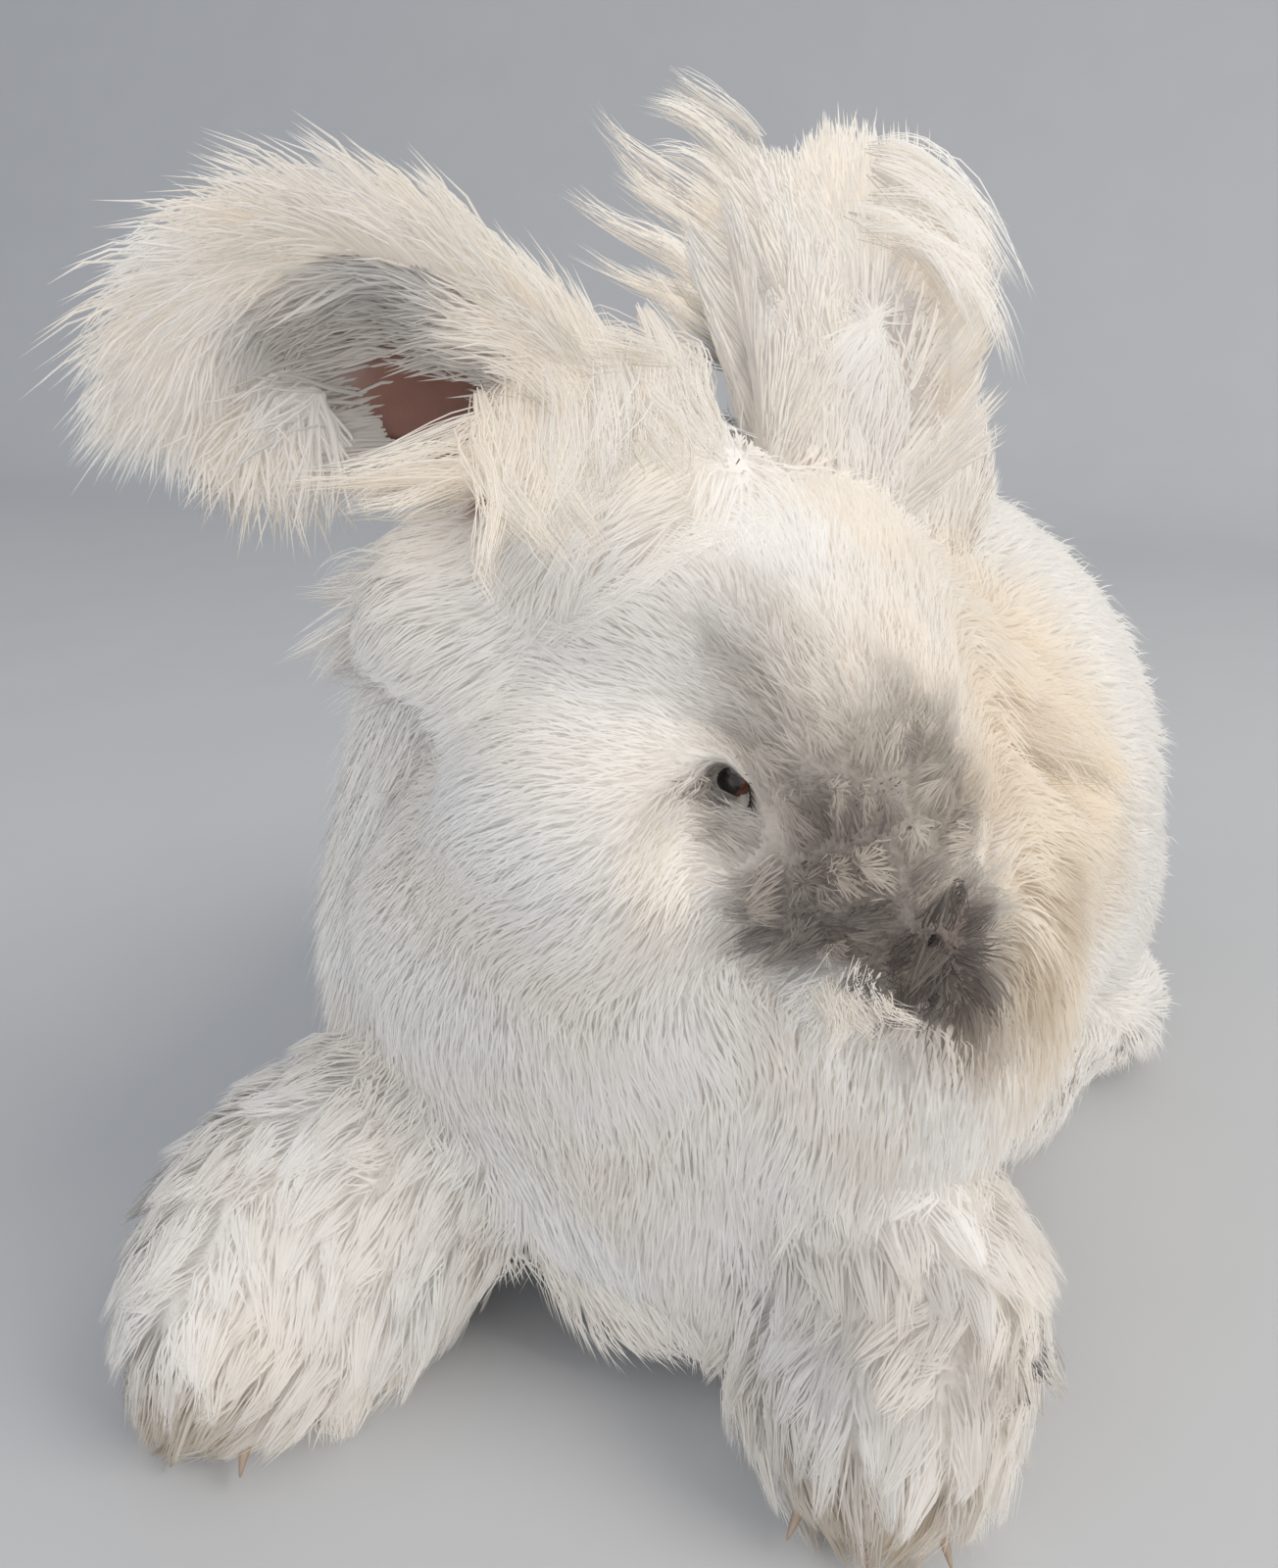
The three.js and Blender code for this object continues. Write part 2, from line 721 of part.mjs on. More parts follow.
for (const [rank, plan] of plans.entries()) {
  const locks = plan.locks ? openLocks(plan) : [];
  const whole = (grow) => joined([...plan.core(grow), ...locks.map((lock) => lockSolid(lock, grow))]);
  plan.solid = whole(0).simplify(FINEST_DETAIL);
  plan.grown = whole(GAP).add(plan.solid).simplify(FINEST_TRIM);
  for (const cut of plan.cuts ?? []) plan.solid = plan.solid.subtract(cut);
  for (const earlier of plans.slice(0, rank)) plan.solid = plan.solid.subtract(earlier.grown);
  const bodies = plan.solid.simplify(FINEST_TRIM).decompose();
  bodies.sort((first, second) => second.volume() - first.volume());
  plan.solid = bodies[0];
}

// A three.js geometry of a finished solid.
function geometryOf(solid) {
  const mesh = solid.getMesh();
  const geometry = new THREE.BufferGeometry();
  const positions = new Float32Array(mesh.vertProperties);
  geometry.setAttribute("position", new THREE.BufferAttribute(positions, 3));
  geometry.setIndex(new THREE.BufferAttribute(new Uint32Array(mesh.triVerts), 1));
  geometry.computeVertexNormals();
  return geometry;
}

const group = new THREE.Group();
group.name = "angora_rabbit";
for (const { name, colour, roughness = 0.95, solid } of plans) {
  const material = new THREE.MeshStandardMaterial({ color: colour, roughness, metalness: 0 });
  const mesh = new THREE.Mesh(geometryOf(solid), material);
  mesh.name = name;
  group.add(mesh);
}

// The middle of the whole animal goes over the origin.
const bounds = new THREE.Box3().setFromObject(group);
const centre = bounds.getCenter(new THREE.Vector3());
for (const mesh of group.children) {
  mesh.geometry.translate(-centre.x, -centre.y, -bounds.min.z);
}

export default group;
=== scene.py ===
"""A life-size angora rabbit sitting on its four feet, in smoke and cream-tipped white wool.

The skin, the coat of tapered tufts, the eyes, the claws and the whiskers are built around the
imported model, in metres. Sizes below are in millimetres in the solids' own frame, in which the
body faces -Y, +X is its left and +Z is up; ``Placing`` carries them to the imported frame.
"""

import itertools
import logging
import math
from dataclasses import dataclass, field, replace
from enum import Enum
from typing import ClassVar

import bmesh
import bpy
import numpy as np
from bpy.types import ID, Material, Mesh, Node, NodeSocket, NodeTree, Object, bpy_prop_collection
from mathutils import Matrix, Vector
from mathutils.kdtree import KDTree


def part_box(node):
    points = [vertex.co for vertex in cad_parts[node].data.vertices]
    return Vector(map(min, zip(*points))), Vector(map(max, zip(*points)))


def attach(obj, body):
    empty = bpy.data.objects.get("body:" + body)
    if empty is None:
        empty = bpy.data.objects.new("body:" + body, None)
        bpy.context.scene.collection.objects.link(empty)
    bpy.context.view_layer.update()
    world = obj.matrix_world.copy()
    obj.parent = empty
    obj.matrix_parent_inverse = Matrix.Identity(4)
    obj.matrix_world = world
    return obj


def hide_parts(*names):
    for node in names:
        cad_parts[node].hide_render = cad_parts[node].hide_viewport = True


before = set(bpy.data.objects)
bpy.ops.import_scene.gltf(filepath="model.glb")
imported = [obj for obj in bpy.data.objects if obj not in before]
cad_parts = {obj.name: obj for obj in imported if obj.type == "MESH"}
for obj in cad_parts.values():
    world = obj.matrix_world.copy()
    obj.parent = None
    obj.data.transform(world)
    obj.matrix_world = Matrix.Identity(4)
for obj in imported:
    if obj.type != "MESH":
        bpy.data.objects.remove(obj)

log = logging.getLogger("rabbit")
MM = 0.001
UP = np.array([0.0, 0.0, 1.0])
AHEAD = np.array([0.0, -1.0, 0.0])
SIDES = {"left": 1, "right": -1}
# The width and height of a tuft's patch on the map of the skin.
PATCH_SIZE = 0.003
Array = np.ndarray
# A shell is the points and the faces of a closed surface.
Shell = tuple[Array, list[tuple[int, ...]]]


def vec(*numbers: float) -> Array:
    """Return the numbers as one float array."""
    return np.array(numbers, float)


def unit(vectors: Array) -> Array:
    """Return the vectors scaled to a length of 1 along their last axis."""
    length = np.linalg.norm(vectors, axis=-1, keepdims=True)
    return vectors / np.maximum(length, 1e-9)


def column(values: Array) -> Array:
    """Return a list of numbers as one column, to scale a list of vectors."""
    return np.asarray(values, float)[..., None]


def distance(points: Array, place: Array, sizes: Array | float = 1.0) -> Array:
    """Return how far each point lies from a place, in sizes of its own for each direction."""
    return np.linalg.norm((points - place) / sizes, axis=-1)


def quadratic(root: Array, bend: Array, tip: Array, share: Array) -> Array:
    """Return the places at shares from 0 to 1 of the curve from root to tip drawn by bend."""
    return root * (1 - share) ** 2 + bend * 2 * share * (1 - share) + tip * share ** 2


def along(sizes: float | list[float], place: Array) -> Array:
    """Return the size at each place from 0 to 1, where a list of sizes is spread evenly.

    Between two neighbours the size follows 3p^2 - 2p^3 of the part p of the way.
    """
    if isinstance(sizes, (int, float)):
        return np.full(np.shape(place), float(sizes))
    table = np.array(sizes, float)
    step = np.clip(place, 0, 1) * (len(table) - 1)
    index = np.minimum(np.floor(step).astype(int), len(table) - 2)
    part = step - index
    eased = part * part * (3 - 2 * part)
    return table[index] * (1 - eased) + table[index + 1] * eased


def ease(values: Array, low: float, high: float) -> Array:
    """Rise smoothly from 0 at low to 1 at high."""
    part = np.clip((values - low) / (high - low), 0, 1)
    return part * part * (3 - 2 * part)


def ripple(points: Array, wavelength: float, turn: float = 0.0) -> Array:
    """Return a soft random-looking field between -1 and 1, a sum of slanted sine waves.

    The crests are about a wavelength apart in millimetres, and another turn shifts them.
    """
    total = np.zeros(len(points))
    for index in range(5):
        angle = 1.7 * index + turn
        way = vec(math.cos(angle), math.sin(angle * 1.3), math.cos(angle * 0.7 + 1.1))
        pace = 2 * math.pi / (wavelength * (0.7 + 0.17 * index))
        total += np.sin(points @ unit(way) * pace + 2.3 * angle)
    return total / 3.2


class Spine:
    """A centripetal Catmull-Rom curve through a few points, kept as a fine table."""

    SAMPLES = 160

    def __init__(self, points: list[Array]) -> None:
        """Sample the curve evenly in its own parameter.

        On each stretch the curve is the cubic through its ends p1 and p2 whose slopes come
        from the neighbours, with knots spaced by the square root of the distances.
        """
        knots = [2 * points[0] - points[1], *points, 2 * points[-1] - points[-2]]
        self.table = np.linspace(0, 1, self.SAMPLES)
        self.points = np.empty((self.SAMPLES, 3))
        stretches = len(points) - 1
        for row, place in enumerate(self.table):
            index = min(int(place * stretches), stretches - 1)
            part = place * stretches - index
            p0, p1, p2, p3 = knots[index:index + 4]
            d0, d1, d2 = (math.sqrt(max(np.linalg.norm(b - a), 1e-6))
                          for a, b in ((p0, p1), (p1, p2), (p2, p3)))
            slope1 = ((p1 - p0) / d0 - (p2 - p0) / (d0 + d1) + (p2 - p1) / d1) * d1
            slope2 = ((p2 - p1) / d1 - (p3 - p1) / (d1 + d2) + (p3 - p2) / d2) * d1
            self.points[row] = (
                p1 + slope1 * part
                + (3 * (p2 - p1) - 2 * slope1 - slope2) * part ** 2
                + (2 * (p1 - p2) + slope1 + slope2) * part ** 3
            )
        self.tangents = unit(np.gradient(self.points, axis=0))

    def at(self, place: Array) -> tuple[Array, Array]:
        """Return the points and unit tangents at the given places."""
        read = [np.stack([np.interp(place, self.table, part[:, axis]) for axis in range(3)], 1)
                for part in (self.points, self.tangents)]
        return read[0], unit(read[1])


def sphere_directions(segments: int, rings: int) -> Array:
    """Return a grid of unit directions, (rings + 1) x segments, with its poles on the y axis.

    Direction = (cos a sin b, cos b, sin a sin b) with a round the sphere and b pole to pole.
    """
    a, b = np.meshgrid(np.linspace(0, 2 * np.pi, segments, endpoint=False),
                       np.linspace(1e-3, np.pi - 1e-3, rings + 1))
    return np.stack([np.cos(a) * np.sin(b), np.cos(b), np.sin(a) * np.sin(b)], -1).reshape(-1, 3)


def grid_faces(segments: int, rings: int) -> list[tuple[int, ...]]:
    """Return the faces that close a grid of sphere_directions, with a face over each pole."""
    faces = []
    for ring in range(rings):
        for index in range(segments):
            nearby = (index + 1) % segments
            faces.append((ring * segments + index, ring * segments + nearby,
                          (ring + 1) * segments + nearby, (ring + 1) * segments + index))
    faces.append(tuple(range(segments - 1, -1, -1)))
    faces.append(tuple(rings * segments + index for index in range(segments)))
    return faces


@dataclass
class CoatStyle:
    """How the wool of one body part lies, and how its tufts look; sizes in millimetres.

    lie is the way the wool runs in the form's own directions: to its side, towards the start
    of its spine and to its top. Travel is how far a tuft runs along the lie, stand the share
    of the wool's depth that its tip reaches, and dense the number of tufts for a unit of skin.
    Where there is an away_from place, the wool runs away from it and down instead.
    """

    lie: Array
    travel: float
    width: float
    dense: float
    clump: float = 0.4
    wave: float = 0.6
    stand: float = 1.0
    away_from: Array | None = None


@dataclass
class BareSpot:
    """A place where the wool thins out, such as round an eye."""

    at: Array
    reach: float
    strength: float


@dataclass
class Form:
    """A body part: a bent spine, a skin round it, and wool that stands on the skin.

    Its cross-section has one size to both sides, one towards its top and one towards its
    bottom. A direction on the unit sphere picks the place: y runs towards the spine's start.
    """

    path: list[Array]
    top: Array
    side: float | list[float]
    rise: float | list[float]
    drop: float | list[float]
    wool: float | list[float]
    style: CoatStyle
    floor: float = 0.0
    bare: list[BareSpot] = field(default_factory=list)
    GRID: ClassVar[tuple[int, int]] = (56, 36)

    def __post_init__(self) -> None:
        """Sample the spine."""
        self.spine = Spine(self.path)

    def layer(self, direction: Array, wool: Array) -> Array:
        """Return the places at the directions with a depth of wool on the skin.

        Place = spine point - tangent * y * wool + sideways * x * (side + wool)
        + topward * z * (rise or drop + wool).
        """
        place = (1 - direction[:, 1]) / 2
        point, tangent = self.spine.at(place)
        sideways = unit(np.cross(tangent, self.top))
        topward = unit(np.cross(sideways, tangent))
        height = np.where(direction[:, 2] > 0, along(self.rise, place), along(self.drop, place))
        return (
            point
            - tangent * column(direction[:, 1] * wool)
            + sideways * column(direction[:, 0] * (along(self.side, place) + wool))
            + topward * column(direction[:, 2] * (height + wool))
        )

    def at(self, direction: Array, depth: float, grow: float = 0.0) -> Array:
        """Return the places at unit directions from the form's middle, on or above its floor.

        Depth is the share of the wool's depth, from 0 (skin) to 1 (tips), and grow what is
        added outside that.
        """
        share = np.ones(len(direction))
        if self.bare:
            skin = self.layer(direction, np.zeros(len(direction)))
            for spot in self.bare:
                away = distance(skin, spot.at, spot.reach)
                share *= 1 - spot.strength * np.exp(-away * away)
        wool = along(self.wool, (1 - direction[:, 1]) / 2) * depth * share
        points = self.layer(direction, wool + grow)
        points[:, 2] = np.maximum(points[:, 2], self.floor - grow)
        return points

    def shell(self, depth: float, grow: float = 0.0) -> Shell:
        """Return the points and faces of the form's closed surface at a depth."""
        return self.at(sphere_directions(*self.GRID), depth, grow), grid_faces(*self.GRID)


@dataclass
class Ear:
    """An ear: a scoop that narrows at its root and its tip, cupped towards where it faces."""

    path: list[Array]
    facing: Array
    half_width: float = 23.0
    cup_depth: float = 15.0
    thickness: float = 4.0
    fullness: tuple[float, ...] = (0.9, 1.0, 1.05, 0.9, 0.8)
    GRID: ClassVar[tuple[int, int]] = (72, 48)

    def __post_init__(self) -> None:
        """Sample the spine."""
        self.spine = Spine(self.path)
        self.facing = unit(self.facing)

    def frame(self, place: Array) -> tuple[Array, ...]:
        """Return the point, the tangent, and the ways across and into the cup at each place."""
        point, tangent = self.spine.at(place)
        across = unit(np.cross(tangent, self.facing))
        inward = unit(np.cross(across, tangent))
        return point, tangent, across, inward

    def at(self, direction: Array, thinner: float = 0.0) -> Array:
        """Return the places at the directions: x across, y to the root, z into the cup.

        Place = spine point + across * x * half width + inward * (cup depth * x^2 + z *
        thickness), with the skin drawn in by thinner.
        """
        place = (1 - direction[:, 1]) / 2
        point, tangent, across, inward = self.frame(place)
        spread = self.half_width * along(list(self.fullness), place) - thinner
        cup = self.cup_depth * direction[:, 0] ** 2
        return (
            point
            + tangent * column(direction[:, 1] * thinner)
            + across * column(direction[:, 0] * spread)
            + inward * column(cup + direction[:, 2] * (self.thickness - thinner))
        )

    def shell(self, thinner: float) -> Shell:
        """Return the points and faces of the ear's closed surface."""
        return self.at(sphere_directions(*self.GRID), thinner), grid_faces(*self.GRID)


@dataclass
class Head:
    """The head's own directions, and the places and sizes of the parts of its face."""

    centre: Array = field(default_factory=lambda: vec(20, -76, 148))
    turn_deg: float = 55.0
    tip_deg: float = 26.0
    half_width: float = 26.0
    nose_reach: float = 60.0
    back_reach: float = 34.0
    eye_radius: float = 8.0
    eye_forward: float = 14.0
    eye_spread: float = 19.5
    eye_rise: float = 9.0
    lid_radius: float = 10.1
    lid_opening: tuple[float, float, float] = (7.8, 13.0, 5.0)
    pad_radii: tuple[float, float, float] = (12.4, 9.4, 8.9)
    pad_spread: float = 8.0
    nose_radii: tuple[float, float, float] = (7.2, 8.0, 7.4)
    chin_radii: tuple[float, float, float] = (12.0, 9.0, 6.0)
    cheek_ahead_left: float = 27.0
    cheek_ahead_right: float = 2.0
    BLOB_GRID: ClassVar[tuple[int, int]] = (28, 18)

    def __post_init__(self) -> None:
        """Work out the ways out of the nose, to the head's left and to its crown."""
        turn = Matrix.Rotation(math.radians(self.turn_deg), 3, "Z")
        turn = np.array(turn @ Matrix.Rotation(math.radians(self.tip_deg), 3, "X"))
        self.ahead = turn @ AHEAD
        self.crown = turn @ UP
        self.left = turn @ vec(1, 0, 0)

    def at(self, ahead: float, left: float, crown: float) -> Array:
        """Return the place that far out of the middle of the head, in its own directions."""
        return self.centre + self.ahead * ahead + self.left * left + self.crown * crown

    def own(self, points: Array) -> Array:
        """Return the places as distances ahead, left and to the crown from the middle."""
        away = points - self.centre
        return np.stack([away @ self.ahead, away @ self.left, away @ self.crown], 1)

    def eye(self, side: int) -> Array:
        """Return the middle of an eyeball; side is 1 for the left and -1 for the right."""
        return self.at(self.eye_forward, side * self.eye_spread, self.eye_rise)

    def gaze(self, side: int) -> Array:
        """Return the way an eye looks: out to its side and a little ahead."""
        return unit(self.left * side + self.ahead * 0.35 + self.crown * 0.1)

    def blob(self, ahead: float, left: float, crown: float, radii: tuple[float, ...]) -> Shell:
        """Return the points and faces of an ellipsoid set along the head's directions."""
        directions = sphere_directions(*self.BLOB_GRID)
        points = self.at(ahead, left, crown) + (
            column(directions[:, 0] * radii[0]) * self.ahead
            + column(directions[:, 1] * radii[1]) * self.left
            + column(directions[:, 2] * radii[2]) * self.crown
        )
        return points, grid_faces(*self.BLOB_GRID)

    def features(self) -> list[Shell]:
        """Return the ellipsoids of the face: nose, chin, and on each side a pad and the lids."""
        reach = self.nose_reach
        shells = [self.blob(reach - 5, 0, -1, self.nose_radii),
                  self.blob(reach - 18, 0, -21, self.chin_radii)]
        for side in (-1, 1):
            shells.append(self.blob(reach - 10.5, side * self.pad_spread, -10, self.pad_radii))
            shells.append(self.blob(self.eye_forward, side * self.eye_spread, self.eye_rise,
                                    (self.lid_radius,) * 3))
        return shells


@dataclass
class Animal:
    """The rabbit's main forms, from the same named sizes as its solids; millimetres."""

    wool_body: float = 44.0
    wool_neck: float = 46.0
    wool_cheek: float = 36.0
    wool_leg: float = 24.0
    wool_tail: float = 18.0
    trunk_front: float = -70.0
    trunk_rear: float = 116.0
    trunk_half_width: float = 70.0
    trunk_height: float = 101.0
    trunk_rise: float = 62.0
    trunk_drop: float = 46.0
    foreleg_radius: float = 14.0
    haunch_radius: float = 34.0
    hind_foot_radius: float = 11.0
    head: Head = field(default_factory=Head)

    def forms(self) -> dict[str, Form]:
        """Return every woolly form by name."""
        forms = {"trunk": self.trunk(), "bib": self.bib(), "skull": self.skull(),
                 "tail": self.tail(), "crown": self.crown(), "muff": self.muff(),
                 "throat": self.throat(), "ruff": self.ruff()}
        for name, side in SIDES.items():
            forms[f"cheek_{name}"] = self.cheek(side)
            forms[f"foreleg_{name}"] = self.foreleg(side)
            forms[f"haunch_{name}"] = self.haunch(side)
            forms[f"hind_foot_{name}"] = self.hind_foot(side)
        return forms

    def trunk(self) -> Form:
        """Return the rounded trunk, highest over the loins."""
        front, rear, height = self.trunk_front, self.trunk_rear, self.trunk_height
        wide, rise = self.trunk_half_width, self.trunk_rise
        return Form(
            path=[vec(0, front, height - 8), vec(0, front * 0.3, height + 1),
                  vec(0, rear * 0.4, height), vec(0, rear, height - 12)],
            top=UP, side=[wide * 0.8, wide * 0.9, wide, wide * 1.04],
            rise=[rise * 0.8, rise * 0.92, rise, rise * 0.98], drop=self.trunk_drop,
            wool=self.wool_body, floor=5,
            style=CoatStyle(vec(0, -0.8, -0.55), travel=16, width=1.2, dense=1.3, clump=0.3),
        )

    def bib(self) -> Form:
        """Return the wool of the chest and neck, which hangs down from the head."""
        return Form(
            path=[vec(8, -90, 54), vec(0, -78, 92), vec(-8, -65, 130), vec(-22, -59, 178)],
            top=AHEAD, side=[48, 56, 47, 46], rise=[10, 10, 0, -6], drop=[14, 20, 22, 16],
            wool=[42, 44, self.wool_neck, 40], floor=8,
            style=CoatStyle(vec(0, 1, 0.05), travel=12, width=0.95, dense=2.6, clump=0.15),
        )

    def skull(self) -> Form:
        """Return the head from its nose to its nape, barer round the eyes."""
        head = self.head
        wide = head.half_width
        spots = [BareSpot(head.at(head.eye_forward + 6, side * (head.eye_spread + 8),
                                  head.eye_rise), 12.5, 1.0) for side in (-1, 1)]
        return Form(
            path=[head.at(head.nose_reach, 0, -6), head.at(head.nose_reach * 0.5, 0, -4),
                  head.at(0, 0, 0), head.at(-head.back_reach, 0, 4)],
            top=head.crown, side=[15, wide * 0.84, wide, wide * 0.9], rise=[13, 19, 24, 22],
            drop=[13, 19, 25, 22], wool=[4, 12, 24, self.wool_cheek, 28], bare=spots,
            style=CoatStyle(vec(0, -1, -0.15), travel=8, width=0.75, dense=5.4, clump=0.25),
        )

    def throat(self) -> Form:
        """Return the wool that carries the near cheek over into the chest."""
        return Form(
            path=[vec(-12, -106, 118), vec(-13, -103, 104), vec(-8, -98, 84)], top=AHEAD,
            side=[24, 28, 28], rise=[6, 8, 6], drop=8, wool=28,
            style=CoatStyle(vec(0, -1, 0), travel=11, width=0.9, dense=3.0, clump=0.15),
        )

    def ruff(self) -> Form:
        """Return the wool that stands out to the side below the right ear."""
        return Form(
            path=[vec(-22, -85, 178), vec(-42, -94, 176), vec(-57, -100, 170)],
            top=UP, side=12, rise=[13, 9, 2], drop=[34, 25, 5], wool=[14, 14, 10],
            style=CoatStyle(vec(0, -1, -0.25), travel=16, width=0.95, dense=3.0, clump=0.6),
        )

    def crown(self) -> Form:
        """Return the thick wool between the ears, over the root of the right one."""
        return Form(
            path=[vec(10, -73, 193), vec(-8, -85, 197), vec(-25, -97, 194)], top=UP,
            side=13, rise=9, drop=16, wool=14,
            style=CoatStyle(vec(0.4, -0.5, -0.6), travel=18, width=1.0, dense=3.0, clump=0.5),
        )

    def muff(self) -> Form:
        """Return the wool heaped round the root of the left ear."""
        return Form(
            path=[vec(28, -40, 172), vec(31, -38, 198), vec(28, -34, 220)],
            top=unit(vec(0.45, -0.85, 0.1)), side=[20, 18, 14], rise=[5, -1, 3], drop=8, wool=15,
            style=CoatStyle(vec(0, -0.9, 0.35), travel=15, width=1.1, dense=2.8, clump=0.35),
        )

    def cheek(self, side: int) -> Form:
        """Return the wool of one cheek, pushed forward on the left by the shoulder."""
        head = self.head
        ahead = head.cheek_ahead_left if side > 0 else head.cheek_ahead_right
        return Form(
            path=[head.at(ahead + 14, side * 36, -8), head.at(ahead, side * 39, -13),
                  head.at(ahead - 14, side * 38, -17)],
            top=head.crown, side=17, rise=15, drop=16, wool=19,
            style=CoatStyle(vec(0, -0.8, -0.6), travel=9, width=0.8, dense=4.4, clump=0.12,
                            away_from=head.at(48, 0, 12)),
        )

    def toes(self, side: int) -> Array:
        """Return the place on the floor under the toes of a forefoot."""
        return vec(60, -126, 0) if side > 0 else vec(-78, -151, 0)

    def foreleg(self, side: int) -> Form:
        """Return one foreleg from its elbow to its toes."""
        elbow = vec(side * 42, -84, 54)
        toe = self.toes(side)
        wrist = toe + vec(-side * 4, 22, 25)
        knee = (elbow + wrist) / 2
        knee[2] = 40
        radius = self.foreleg_radius
        return Form(
            path=[elbow, knee, wrist, toe + vec(0, 0, 22)], top=UP,
            side=[radius, radius, radius * 1.1, radius * 1.2], rise=radius * 1.5, drop=radius,
            wool=self.wool_leg,
            style=CoatStyle(vec(0, -1, -0.3), travel=13, width=1.05, dense=3.2, clump=0.8,
                            wave=1.3),
        )

    def haunch(self, side: int) -> Form:
        """Return one thigh and hock, folded beside the trunk."""
        radius = self.haunch_radius
        return Form(
            path=[vec(side * 58, 36, 50), vec(side * 68, 66, 62), vec(side * 68, 96, 60),
                  vec(side * 60, 124, 48)],
            top=UP, side=radius * 0.65, rise=radius, drop=radius, wool=self.wool_leg,
            style=CoatStyle(vec(0, -0.7, -0.6), travel=16, width=1.5, dense=1.2, clump=0.3),
        )

    def hind_foot(self, side: int) -> Form:
        """Return one long hind foot, flat on the floor."""
        radius = self.hind_foot_radius
        return Form(
            path=[vec(side * 70, 4, 15), vec(side * 72, 40, 17), vec(side * 70, 84, 17),
                  vec(side * 66, 116, 20)],
            top=UP, side=radius, rise=radius, drop=radius, wool=self.wool_leg * 0.7,
            style=CoatStyle(vec(0, 0.9, -0.2), travel=12, width=1.2, dense=1.8, clump=0.4),
        )

    def tail(self) -> Form:
        """Return the short upturned tail."""
        return Form(
            path=[vec(0, 138, 74), vec(0, 154, 88), vec(0, 160, 108)], top=vec(0, 1, 0),
            side=10, rise=7, drop=7, wool=self.wool_tail,
            style=CoatStyle(vec(0, -0.9, 0.2), travel=13, width=1.2, dense=1.8, clump=0.35),
        )

    def ears(self) -> dict[str, Ear]:
        """Return the right ear, which curls out sideways, and the upright left ear."""
        return {
            "right": Ear([vec(-2, -78, 182), vec(-27, -86, 213), vec(-52, -96, 232),
                          vec(-75, -106, 232), vec(-86, -112, 214)], vec(0.35, -0.75, -0.55)),
            "left": Ear([vec(16, -52, 176), vec(23, -44, 206), vec(19, -34, 236),
                         vec(8, -24, 260)], vec(0.45, -0.85, 0)),
        }


class Placing:
    """Carries places in the solids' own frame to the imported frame."""

    def __init__(self, head: Head) -> None:
        """Find the shift between the frames from where the left eye was packed."""
        low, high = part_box("eye_left")
        middle = (np.array(low) + np.array(high)) / 2 / MM
        self.shift = np.round(middle - head.eye(1), 1)
        self.shift[2] = 0

    def metres(self, points: Array) -> Array:
        """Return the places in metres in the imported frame."""
        return (points + self.shift) * MM


@dataclass(frozen=True)
class Patch:
    """A patch of one tone, full as far as near from its middle and gone at far; millimetres."""

    middle: Array
    near: float
    far: float
    strength: float

    def read(self, places: Array, jitter: Array | float = 0.0, sizes: Array | float = 1.0) -> Array:
        """Return the patch's strength at each place.

        Each place counts as lying farther off by the jitter, and the patch is drawn out by
        sizes in each direction.
        """
        away = distance(places, self.middle, sizes) + jitter
        return self.strength * (1 - ease(away, self.near, self.far))


